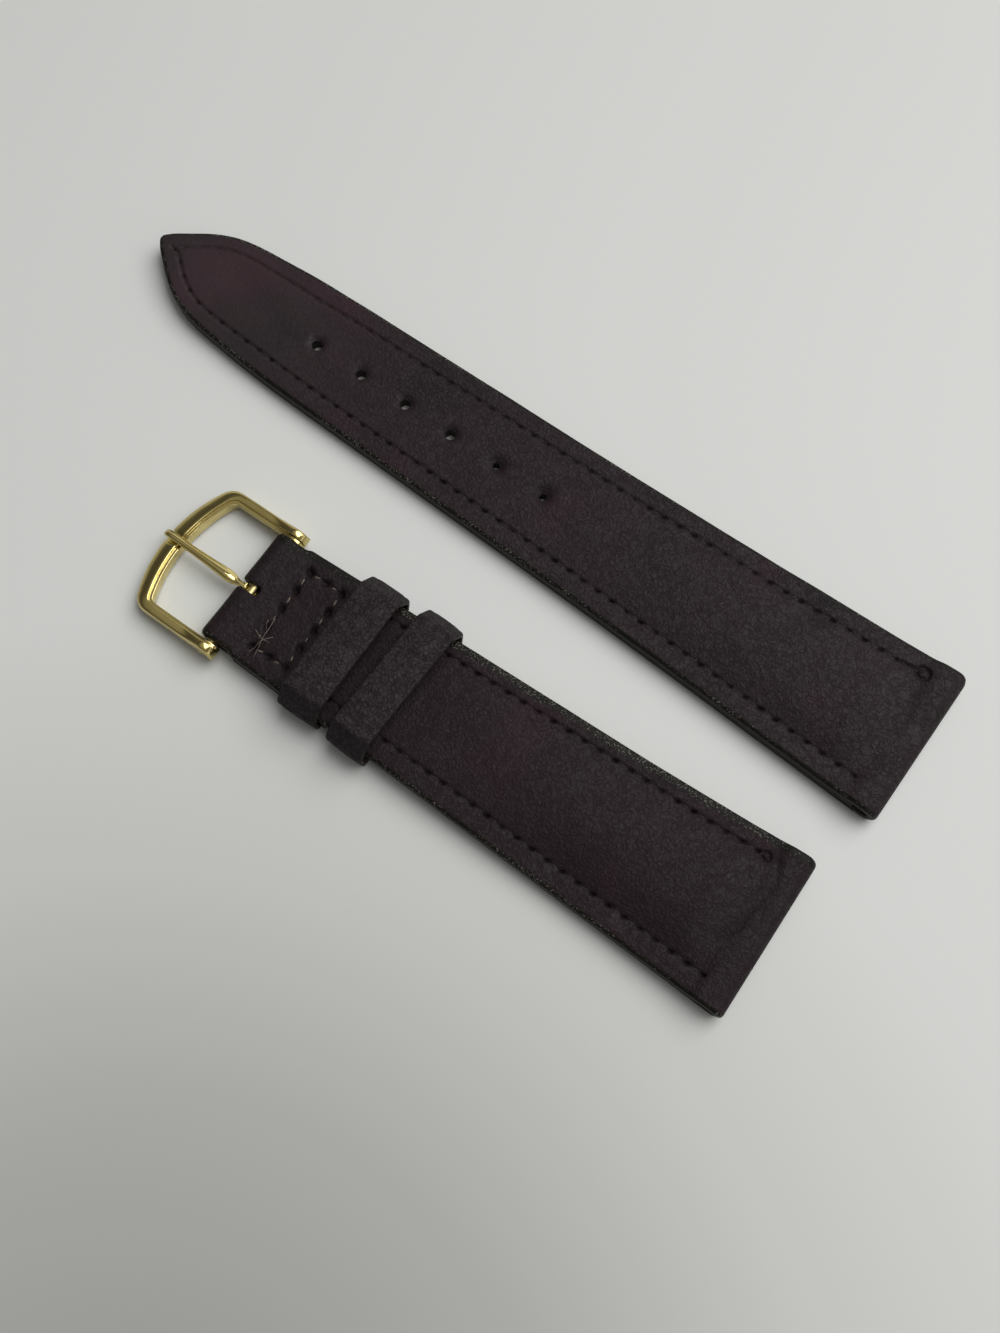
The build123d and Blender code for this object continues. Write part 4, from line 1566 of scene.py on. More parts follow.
@dataclass
class LongHalf(StrapHalf):
    """The half with the tongue's holes and the tapered tail."""

    length: float = 112.5
    waist: float = 38.1
    waist_half: float = 8.65
    taper_end: float = 91.0
    end_half: float = 7.7
    shoulder: float = 103.05
    shoulder_half: float = 6.6
    flank: float = 107.18
    flank_half: float = 4.87
    nose_back: float = 0.85
    nose_half: float = 1.3
    tail_skew: float = 0.1
    skew_start: float = 98.0
    skew_reach: float = 15.0
    hole_radius: float = 1.06
    far_row_start: float = 7.35
    far_row_stop: float = 5.0
    tail_inset: float = 2.05
    inset_start: float = 92.0
    inset_reach: float = 12.0
    ring_place: tuple[float, float] = (4.69, 7.43)
    punch_radius: float = 0.68
    closed_radius: float = 0.45
    closed_count: int = 2
    hole_dish: float = 0.3
    hole_first: float = 52.4
    hole_pitch: float = 6.94
    hole_count: int = 6
    pad_end: float = 48.7
    core_waist: float = 0.53
    core_tail: float = 0.42
    lift_start: float = 88.9
    lift_middle: float = 101.57
    lift_at_middle: float = 0.21
    lift_at_tip: float = 0.95

    def half_side(self) -> Array:
        """The cut line of one side in plan, from the watch end to the tip."""
        corners = [
            (0.0, self.lug_half),
            (self.waist, self.waist_half),
            (self.taper_end, self.end_half),
            (self.shoulder, self.shoulder_half),
            (self.flank, self.flank_half),
            (self.length - self.nose_back, self.nose_half),
            (self.length, 0.3),
            (self.length, 0.0),
        ]
        return soften(corners, [14.0, 7.0, 3.2, 2.4, 0.9, 0.3])

    def skew(self, d: Array) -> Array:
        """How far the tail's middle wanders from the axis."""
        return self.tail_skew * np.clip((np.asarray(d) - self.skew_start) / self.skew_reach, 0, 1) ** 2

    def top_line(self) -> list[tuple[float, float]]:
        """The top's profile past the watch end, as distance and height."""
        upper, lining = self.upper_leather, self.lining_leather
        return [
            (self.pad_start, lining + self.core_start + upper),
            (self.pad_full, lining + self.core_full + upper),
            (self.pad_end, lining + self.core_waist + upper),
            (self.lift_start, lining + self.core_tail + upper),
            (self.lift_middle, self.lift_at_middle + lining + self.core_tail + upper),
            (self.length, self.lift_at_tip + lining + self.core_tail + upper),
        ]

    def core(self, d: Array) -> Array:
        """The core's thickness."""
        places = [self.pad_start, self.pad_full, self.pad_end, self.lift_start]
        return np.interp(d, places, [self.core_start, self.core_full, self.core_waist, self.core_tail])

    def crown_profile(self) -> tuple[list[float], list[float]]:
        """Places from the watch end, and the swell's height at them."""
        places = [self.pad_start - 1.0, self.pad_start, self.pad_full, self.pad_end, self.pad_end + 6]
        return places, [0, self.crown_start, self.crown_full, self.crown_end, 0]

    def width_at(self, d: Array) -> Array:
        """Half the width in plan."""
        side = self.half_side()
        return np.interp(d, side[:, 0], side[:, 1])

    def holes(self) -> list[float]:
        """The tongue holes' distances from the watch end."""
        return [self.hole_first + k * self.hole_pitch for k in range(self.hole_count)]

    def flat_outline(self, route: Route, first: float, step: float) -> Array:
        """The sheet's cut edge in the flat, counter-clockwise.

        Args:
            route: The route that it lies on.
            first: Where it starts along the route.
            step: How close its points are.

        Returns:
            The loop.
        """
        side = resample(self.half_side(), step)
        on_top = self.along(route, side[:, 0])
        start = self.along(route, np.array([0.0]))[0]
        lead = np.arange(first, start, step)
        d = self.from_watch_end(route, lead)
        wide = self.width_at(d) - self.tuck(d)
        plan, skew = side[:, 1] - self.tuck(side[:, 0]), self.skew(side[:, 0])
        low, high = np.concatenate([-wide, -plan + skew]), np.concatenate([wide, plan + skew])
        return leaf(np.concatenate([lead, on_top]), low, high)

    def stitch_path(self) -> Array:
        """The sewing's path in plan, up one side, round the tail and back."""
        side = self.half_side()
        full = np.concatenate([side, (side * [1, -1])[::-1][1:]])
        full = resample(full, 0.8)
        closer = np.clip((full[:, 0] - self.inset_start) / self.inset_reach, 0, 1)[:, None]
        moved = inset(full, self.stitch_inset) * (1 - closer) + inset(full, self.tail_inset) * closer
        first = np.where(moved[:, 1] > 0, self.far_row_start, self.stitch_first)
        last = self.length - np.where(moved[:, 1] > 0, self.far_row_stop, self.tail_inset)
        keep = moved[(moved[:, 0] >= first) & (moved[:, 0] < last) & (np.abs(moved[:, 1]) > 0.12)]
        return np.stack([keep[:, 0], keep[:, 1] + self.skew(keep[:, 0])], 1)

    def pull(self, d: Array, y: Array) -> Array:
        """How hard each stitch pulls: softly on the far side, and least round the tail."""
        near = np.interp(d, [80.0, 100.0], [1.0, 0.6])
        far = np.interp(d, [10.0, 75.0, 97.0], [0.85, 0.55, 0.15])
        return np.where(y < 0, near, far)

    def punch(self, number: int) -> float:
        """A tongue hole's radius as it shows: the two by the watch end have closed up."""
        return self.closed_radius if number < self.closed_count else self.punch_radius

    def build(self, wear: Wardrobe) -> None:
        """Make the half's pieces and hang them on its body.

        Args:
            wear: The materials.
        """
        route = self.xz_route(self.nose() + self.top_line(), -1.0)
        outline = self.flat_outline(route, 0.0, 0.28)
        flat_path = self.on_route(route, self.stitch_path())
        row = Stitching(flat_path, force=lambda s, t: self.pull(self.from_watch_end(route, s), t))
        waves = unevenness(3, 9.0, 0.035)
        hole_places = [(float(self.along(route, np.array([d]))[0]), 0.0) for d in self.holes()]
        ring = (float(self.along(route, np.array([self.ring_place[0]]))[0]), self.ring_place[1])
        marks = [
            Groove(circle_loop(ring, 0.68), depth=0.34, width=0.26, closed=True),
            Groove(np.array([flat_path[0], (ring[0] + 0.8, ring[1] + 0.1)]), depth=0.24, width=0.2),
        ]
        top_start = float(self.along(route, np.array([0.0]))[0])

        def relief(s: Array, t: Array) -> Array:
            d = self.from_watch_end(route, s)
            on_top = np.clip((s - top_start) / 3.0, 0, 1)
            level = self.crown(d, t) * (s > top_start) + waves(s, t) * on_top
            for number, place in enumerate(hole_places):
                gap = np.hypot(s - place[0], t - place[1])
                open_part = self.punch(number)
                spread = self.hole_radius - open_part + 0.1
                dish = self.hole_dish * (2.0 if number < self.closed_count else 1.0)
                level -= dish * np.exp(-((np.maximum(gap - open_part, 0) / spread) ** 2)) * (gap < 4)
            return level

        upper = Sheet(
            "long_upper_leather_skin",
            route,
            outline,
            lambda s: np.interp(
                s, [self.pared_end, self.pared_full], [self.turn_in_leather, self.upper_leather]
            ),
            holes=[circle_loop(place, self.punch(number)) for number, place in enumerate(hole_places)],
            relief=relief,
            rows=[row, *marks],
            lap=(0.4, 0.42),
            edge_reach=0.6,
        )
        skin = upper.build(self.place, [wear.long_calf, wear.edge, wear.flesh, wear.rim])
        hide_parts("long_upper_leather")
        self.hang(skin)
        self.build_core(wear, route, upper.holes)
        lining = self.build_lining(wear)
        self.build_thread(wear, upper, row, lining)

    def build_core(self, wear: Wardrobe, route: Route, holes: Sequence[Array]) -> None:
        """Make the board between the leathers, whose edge is painted with theirs.

        Args:
            wear: The materials.
            route: The upper leather's route.
            holes: The tongue's holes in the flat.
        """
        whole = self.flat_outline(route, 0.0, 0.5)
        start = float(self.along(route, np.array([self.tunnel_end]))[0])
        loop = clip_start(whole, start)
        core = self.core_sheet("long_core_board", route, shrunk(loop, 0.01), holes)
        piece = core.build(self.place, [wear.board, wear.edge, wear.board, wear.edge])
        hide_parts("long_core")
        self.hang(piece)

    def build_lining(self, wear: Wardrobe) -> tuple[Sheet, Stitching]:
        """Make the lining.

        Args:
            wear: The materials.

        Returns:
            The lining and its row of stitches.
        """
        tail = [(self.lift_middle, self.lift_at_middle), (self.length, self.lift_at_tip)]
        under = [(self.lining_start, 0.0), (self.lift_start, 0.0), *tail]
        route = self.xz_route(under, -1.0, 2.0)
        side = resample(self.half_side(), 0.35)
        side = side[side[:, 0] >= self.lining_start]
        s = np.interp(side[:, 0], -route.points[:, 0], route.run)
        skew = self.skew(side[:, 0])
        loop = close_start(leaf(s, -side[:, 1] + skew, side[:, 1] + skew), 0.35)
        row = Stitching(self.on_underside(route, self.stitch_path()), channel_depth=0.05, pit_depth=0.25)
        spots = [(float(np.interp(d, -route.points[:, 0], route.run)), 0.0) for d in self.holes()]
        holes = [circle_loop(spot, self.punch(number)) for number, spot in enumerate(spots)]
        sheet = self.lining_sheet("long_lining_skin", route, loop, [row], 5, holes)
        piece = sheet.build(self.place, [wear.lining, wear.edge, wear.flesh, wear.edge])
        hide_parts("long_lining")
        self.hang(piece)
        return sheet, row

    def build_thread(
        self, wear: Wardrobe, upper: Sheet, row: Stitching, lining: tuple[Sheet, Stitching]
    ) -> None:
        """Sew the half.

        Args:
            wear: The materials.
            upper: The upper leather.
            row: Its stitches.
            lining: The lining and its stitches.
        """
        tubes = Thread().tubes(upper, row) + Thread(radius=0.15, proud=0.05).tubes(*lining)
        piece = join_tubes("long_edge_thread", tubes, self.place, wear.thread)
        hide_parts("long_edge_stitching")
        self.hang(piece)


def clip_start(loop: Array, start: float) -> Array:
    """Keep the part of a loop past a place along it, with a straight end there.

    Args:
        loop: The loop, which starts and ends at its first edge.
        start: The place.

    Returns:
        The shorter loop.
    """
    kept = loop[loop[:, 0] > start + 0.05]
    low, high = kept[0, 1], kept[-1, 1]
    edge = np.arange(high - 0.6, low + 0.3, -0.6)
    first = np.array([[start, low]])
    last = np.array([[start, high]])
    middle = np.stack([np.full(len(edge), start), edge], 1)
    return np.concatenate([first, kept, last, middle])


def close_start(loop: Array, step: float) -> Array:
    """Fill the straight first edge of a loop with evenly spaced points.

    Args:
        loop: The loop, open at its first edge.
        step: How far apart they are.

    Returns:
        The loop with them.
    """
    edge = np.arange(loop[-1, 1] - step, loop[0, 1] + step / 2, -step)
    return np.concatenate([loop, np.stack([np.full(len(edge), loop[0, 0]), edge], 1)])


@dataclass
class ShortHalf(StrapHalf):
    """The half with the buckle: it folds round the bar and is sewn back on itself."""

    length: float = 72.2
    waist: float = 16.0
    waist_half: float = 9.35
    flat: float = 21.2
    rise_end: float = 43.26
    under: float = 0.9
    lining_end: float = 66.68
    taper_end: float = 67.34
    end_half: float = 7.8
    fold_shoulder: float = 0.63
    fold_half: float = 7.45
    bar_x: float = 70.49
    fold_radius: float = 1.71
    fold_leather: float = 0.88
    flap_end: float = 53.8
    flap_leather: float = 0.44
    flap_pared: float = 60.6
    flap_paring: float = 0.6
    fold_paring: float = 2.5
    ring_place: tuple[float, float] = (5.2, 7.25)
    crease: tuple[tuple[float, float], ...] = (
        (3.7, 7.3), (2.95, 5.4), (3.2, 2.0), (3.95, -1.2), (4.9, -3.2)
    )
    slot_width: float = 1.24
    slot_back: float = 1.4
    core_flat: float = 0.555
    core_thin: float = 0.26
    far_row_start: float = 6.1
    far_row_out: tuple[float, float] = (0.1, 0.34)
    box_pitch: float = 2.75
    box_gap: float = 2.08
    box_near: float = 61.3
    box_far: float = 65.96
    fray_middle: float = -3.4

    def width_at(self, d: Array) -> Array:
        """Half the width in plan."""
        side = soften(
            [
                (0.0, self.lug_half),
                (self.waist, self.waist_half),
                (self.taper_end, self.end_half),
                (self.taper_end + self.fold_shoulder, self.fold_half),
                (self.length + 1, self.fold_half),
            ],
            [10.0, 0.3, 0.3],
        )
        return np.interp(d, side[:, 0], side[:, 1])

    def core(self, d: Array) -> Array:
        """The core's thickness."""
        places = [self.pad_start, self.pad_full, self.flat, self.rise_end]
        return np.interp(d, places, [self.core_start, self.core_full, self.core_flat, self.core_thin])

    def crown_profile(self) -> tuple[list[float], list[float]]:
        """Places from the watch end, and the swell's height at them."""
        places = [
            self.pad_start - 1.0, self.pad_start, self.pad_full, self.flat, self.rise_end, self.rise_end + 3
        ]
        return places, [0, self.crown_start, self.crown_full, self.crown_full, self.crown_end, 0]

    def top_line(self) -> list[tuple[float, float]]:
        """The top's profile, the roll round the bar and the flap under it."""
        upper, lining = self.upper_leather, self.lining_leather
        line = [
            (self.pad_start, lining + self.core_start + upper),
            (self.pad_full, lining + self.core_full + upper),
            (self.flat, lining + self.core_flat + upper),
            (self.rise_end, self.under + lining + self.core_thin + upper),
            (self.lining_end, self.under + lining + self.core_thin + upper),
        ]
        radius = self.fold_radius
        for angle in np.linspace(90, -90, 25):
            turn = math.radians(angle)
            line.append((self.bar_x + radius * math.cos(turn), radius + radius * math.sin(turn)))
        line.append((self.flap_end, 0.0))
        return line

    def flap_along(self, route: Route, d: float) -> float:
        """The place along the route of a distance from the watch end, on the flap."""
        x = -route.points[:, 0]
        far = int(np.argmax(x))
        return float(np.interp(-d, -x[far:], route.run[far:]))

    def stitch_path(self, side: int) -> Array:
        """An edge row's path in plan.

        Args:
            side: 1 or -1.

        Returns:
            Distances from the watch end, and places across.
        """
        first = self.far_row_start if side > 0 else self.stitch_first
        d = np.linspace(first, self.box_near - self.box_gap, 60)
        least, more = self.far_row_out
        drawn_out = least + more * np.clip((d - 12) / 12, 0, 1) if side > 0 else 0.0
        return np.stack([d, side * (self.width_at(d) - self.stitch_inset + drawn_out)], 1)

    def box_rows(self) -> list[Array]:
        """The two rows across and the two short sides of the box by the fold."""
        half = self.width_at(np.array([self.box_near]))[0] - self.stitch_inset
        near, far = self.box_near, self.box_far
        return [
            np.array([(near, half), (near, -half)]),
            np.array([(far, half), (far, -half)]),
            np.array([(near, half), (far, half)]),
            np.array([(near, -half), (far, -half)]),
        ]

    def build(self, wear: Wardrobe) -> None:
        """Make the half's pieces and hang them on its body.

        Args:
            wear: The materials.
        """
        route = self.xz_route(self.nose() + self.top_line(), -1.0)
        s = np.arange(0.0, route.length + 0.1, 0.28)
        s[-1] = route.length
        d = self.from_watch_end(route, s)
        wide = self.width_at(d) - self.tuck(d)
        loop = ribbon(s, -wide, wide)
        rows = [Stitching(self.on_route(route, self.stitch_path(side))) for side in (1, -1)]
        box = [
            Stitching(
                self.on_route(route, path),
                pitch=self.box_pitch,
                pit_length=0.5,
                pit_radius=0.42,
                pit_depth=0.6,
                slant=0.22,
            )
            for path in self.box_rows()
        ]
        waves = unevenness(11, 9.0, 0.035)
        top_start = float(self.along(route, np.array([0.0]))[0])
        slot_start = float(self.along(route, np.array([self.bar_x - self.slot_back]))[0])
        slot_end = self.flap_along(route, self.bar_x - self.slot_back)
        slot = rounded_slot(slot_start, slot_end, self.slot_width / 2)
        ring = self.on_route(route, np.array([self.ring_place]))[0]
        marks = [
            Groove(circle_loop(tuple(ring), 0.45), depth=0.26, width=0.2, closed=True),
            Groove(self.on_route(route, np.array(self.crease)), depth=0.13, width=0.5),
        ]
        flap_start = self.flap_along(route, self.bar_x)

        def relief(along: Array, t: Array) -> Array:
            distance = self.from_watch_end(route, along)
            on_top = np.clip((along - top_start) / 3.0, 0, 1) * (along < flap_start)
            return self.crown(distance, t) * on_top + waves(along, t) * on_top

        def thickness(along: Array) -> Array:
            start = float(self.along(route, np.array([self.lining_end]))[0])
            pared = self.flap_along(route, self.flap_pared)
            thin, full, bent = self.turn_in_leather, self.upper_leather, self.fold_leather
            places = [self.pared_end, self.pared_full, start, start + self.fold_paring]
            places += [pared - self.flap_paring, pared]
            return np.interp(along, places, [thin, full, full, bent, bent, self.flap_leather])

        upper = Sheet(
            "short_upper_leather_skin",
            route,
            loop,
            thickness,
            holes=[slot],
            relief=relief,
            rows=[*rows, *box, *marks],
            lap=(0.45, 0.95),
            edge_reach=0.6,
        )
        skin = upper.build(self.place, [wear.short_calf, wear.edge, wear.flesh, wear.rim])
        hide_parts("short_upper_leather")
        self.hang(skin)
        self.build_core(wear, route)
        lining, lining_rows = self.build_lining(wear)
        self.build_thread(wear, upper, rows, box, lining, lining_rows)

    def build_core(self, wear: Wardrobe, route: Route) -> None:
        """Make the board between the leathers.

        Args:
            wear: The materials.
            route: The upper leather's route.
        """
        d = np.arange(self.tunnel_end, self.lining_end + 0.01, 0.5)
        s = self.along(route, d)
        wide = self.width_at(d) - 0.01
        core = self.core_sheet("short_core_board", route, ribbon(s, -wide, wide))
        piece = core.build(self.place, [wear.board, wear.edge, wear.board, wear.edge])
        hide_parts("short_core")
        self.hang(piece)

    def build_lining(self, wear: Wardrobe) -> tuple[Sheet, list[Stitching]]:
        """Make the lining.

        Args:
            wear: The materials.

        Returns:
            The lining and its rows of stitches.
        """
        under = [
            (self.lining_start, 0.0),
            (self.flat, 0.0),
            (self.rise_end, self.under),
            (self.lining_end, self.under),
        ]
        route = self.xz_route(under, -1.0, 2.0)
        s = np.arange(0.0, route.length + 0.1, 0.35)
        s[-1] = route.length
        d = self.from_watch_end(route, s)
        wide = self.width_at(d) - 0.02
        rows = []
        for side in (1, -1):
            path = self.stitch_path(side)
            path = self.on_underside(route, path[path[:, 0] < self.flap_end - 1.0])
            rows.append(Stitching(path, channel_depth=0.05, pit_depth=0.25))
        sheet = self.lining_sheet("short_lining_skin", route, ribbon(s, -wide, wide), rows, 15)
        piece = sheet.build(self.place, [wear.lining, wear.edge, wear.flesh, wear.edge])
        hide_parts("short_lining")
        self.hang(piece)
        return sheet, rows

    def build_thread(
        self,
        wear: Wardrobe,
        upper: Sheet,
        rows: Sequence[Stitching],
        box: Sequence[Stitching],
        lining: Sheet,
        lining_rows: Sequence[Stitching],
    ) -> None:
        """Sew the half.

        Args:
            wear: The materials.
            upper: The upper leather.
            rows: Its edge rows.
            box: The box by the fold.
            lining: The lining.
            lining_rows: The rows under it.
        """
        tubes = []
        for row in rows:
            tubes += Thread().tubes(upper, row)
        for row in lining_rows:
            tubes += Thread(radius=0.15, proud=0.05).tubes(lining, row)
        piece = join_tubes("short_edge_thread", tubes, self.place, wear.thread)
        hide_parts("short_edge_stitching")
        self.hang(piece)
        tubes = []
        for row in box:
            tubes += Thread(radius=0.15, proud=0.05, sink=0.5, grip=0.2).tubes(upper, row)
        tubes += self.loose_ends(upper)
        piece = join_tubes("box_thread", tubes, self.place, wear.loose_thread)
        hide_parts("box_stitching")
        self.hang(piece)

    def loose_ends(self, upper: Sheet) -> list[Tube]:
        """The frayed thread ends that cross on the box's row by the fold.

        Args:
            upper: The upper leather.

        Returns:
            Thin tubes.
        """
        corner = np.array([self.along(upper.route, np.array([self.box_far]))[0], self.fray_middle])
        ends = []
        hairs = [
            ((-0.2, 2.0), (-1.1, -3.3), 0.15),
            ((-1.4, 0.1), (-0.2, -2.9), 0.35),
            ((0.9, -0.3), (-1.5, -0.7), 0.25),
            ((0.35, 1.5), (-0.25, 0.3), 0.2),
        ]
        for start, end, bow in hairs:
            share = np.linspace(0, 1, 12)
            run = np.array(end) - np.array(start)
            bent = np.outer(np.sin(math.pi * share) * bow, [-run[1], run[0]]) / np.linalg.norm(run)
            plan = corner + np.array(start) + np.outer(share, run) + bent
            height = upper.height(plan) + 0.04 + 0.2 * np.sin(math.pi * share)
            centre = upper.route.at(plan[:, 0], plan[:, 1], height)
            ends.append(twisted_tube(centre, np.linspace(0.06, 0.035, 12), 6, 2, 0.0, 3.0))
        return ends


def rounded_slot(start: float, end: float, half: float) -> Array:
    """A slot with cut corners, in the flat.

    Args:
        start: Where it starts.
        end: Where it ends.
        half: Half its width.

    Returns:
        The loop, counter-clockwise.
    """
    bend = 0.3
    right = [(end - bend, -half), (end, -half + bend), (end, half - bend), (end - bend, half)]
    left = [(start + bend, half), (start, half - bend), (start, -half + bend), (start + bend, -half)]
    loop = np.array(right + left)
    return resample(np.concatenate([loop, loop[:1]]), 0.25)[:-1]


# Keepers


@dataclass
class Keeper:
    """A leather loop round the strap.

    Attributes:
        name: The piece's name.
        node: The CAD node that it stands in for.
        body: The body that it moves with.
        place: Where the strap lies.
        start: How far from the watch end it starts.
        width: How broad its band is.
        half: Half the width inside it.
        floor: The height of its outer face under the strap.
        sole: The height of its inner face there.
        ceiling: The height of its inner face over the strap.
    """

    name: str
    node: str
    body: Body
    place: Placement
    start: float
    width: float
    half: float
    floor: float
    sole: float
    ceiling: float = 4.97
    leather: float = 0.69
    bulge: float = 0.45
    shoulder_in: float = 2.0
    shoulder_down: float = 2.5
    fold: float = 0.3
    flank: float = 0.6
    sole_corner: float = 0.42
    skew: float = 0.0
    seed: int = 1
    edge_roll: float = 0.16
    line_depth: float = 0.05
    line_in: float = 0.75
    line_width: float = 0.16
    sunk: float = 0.04
    # Painted shade round the sides and sole: how dark it is, and how far past the folds it fades.
    fold_shade: float = 0.3
    fold_shade_reach: float = 0.3
    paring: float = 0.6

    def loop_line(self) -> Array:
        """The outer face's line across the strap, from the middle of the sole round."""
        half, top = self.half + self.leather, self.ceiling + self.leather
        middle = -(self.start + self.width / 2)
        widest, low = half + self.bulge, top - self.shoulder_down
        one = [(0.0, self.floor), (half, self.floor), (widest, low), (widest - self.shoulder_in, top)]
        reaches = [self.sole_corner, self.flank, self.fold]
        line = soften(one + [(-y, z) for y, z in reversed(one)], reaches + reaches[::-1])
        return np.array([(middle, y, z) for y, z in line])

    def build(self, wear: Wardrobe) -> None:
        """Make the keeper and hang it on its body.

        Args:
            wear: The materials.
        """
        route = Route(self.loop_line(), (1.0, 0.0, 0.0), (0.0, 0.0, -1.0), 0.35)
        half = self.width / 2
        s = np.arange(0.0, route.length, 0.3)
        s[-1] = route.length
        wander = unevenness(self.seed, 14.0, 0.03)
        low = -half + wander(s, np.zeros_like(s)) + 0.03
        high = half - wander(s, np.zeros_like(s) + 5) - 0.03
        waves = unevenness(self.seed + 20, 7.0, 0.03)
        sole, side = self.half, self.half + self.leather

        def relief(along: Array, t: Array) -> Array:
            crown = -self.edge_roll * (np.abs(t) / half) ** 3
            from_line = (np.abs(t) - half + self.line_in) / self.line_width
            edge_line = self.line_depth * np.exp(-(from_line**2))
            return crown + waves(along, t) - edge_line - self.sunk

        rise = self.ceiling + self.leather - self.shoulder_down - self.floor
        fold_at = side + math.hypot(self.bulge, rise) + math.hypot(self.shoulder_in, self.shoulder_down)

        # Painted shade: the keeper is drawn darker round its sides and sole, up to the folds by its top.
        def shaded_folds(along: Array, t: Array) -> Array:
            from_sole = np.minimum(along, route.length - along)
            return self.fold_shade * np.clip((fold_at - from_sole) / self.fold_shade_reach + 0.5, 0, 1)

        def thickness(along: Array) -> Array:
            rest = self.sole - self.floor
            inner, outer = sole - self.paring, side + self.paring
            places = [inner, outer, route.length - outer, route.length - inner]
            return np.interp(along, places, [rest, self.leather, self.leather, rest])

        sheet = Sheet(
            self.name,
            route,
            ribbon(s, low, high),
            thickness,
            relief=relief,
            fold_shade=shaded_folds,
            edge_drop=0.18,
            edge_reach=0.3,
            bulge=0.035,
            step=0.3,
        )
        middle, turn = self.start + self.width / 2, math.radians(self.skew)
        x = self.place.x - middle * (1 - math.cos(turn))
        turned = Placement(x, self.place.y + middle * math.sin(turn), self.skew)
        piece = sheet.build(turned, [wear.keeper, wear.edge, wear.flesh, wear.keeper])
        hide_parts(self.node)
        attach(piece, self.body.value)
        LOG.info("%s: %d faces", piece.name, len(piece.data.polygons))


# Buckle


@dataclass
class BuckleSide:
    """Turns the buckle's own frame, forwards and up from the bar, into the shared one."""

    bar: tuple[float, float, float]
    tip_down: float = 3.11
    yaw: float = 1.0
    slip: float = -0.15

    def world(self, points: Array) -> Array:
        """Place points.

        Args:
            points: Forwards, across and up from the bar's axis, in millimetres.

        Returns:
            Points in metres.
        """
        c, s = math.cos(math.radians(self.tip_down)), math.sin(math.radians(self.tip_down))
        forward = points[:, 0] * c + points[:, 2] * s
        up = -points[:, 0] * s + points[:, 2] * c
        turn = math.radians(self.yaw)
        ahead = forward * math.cos(turn) - points[:, 1] * math.sin(turn)
        aside = forward * math.sin(turn) + points[:, 1] * math.cos(turn) + self.slip
        return np.stack([self.bar[0] - ahead, self.bar[1] + aside, self.bar[2] + up], 1) * MM


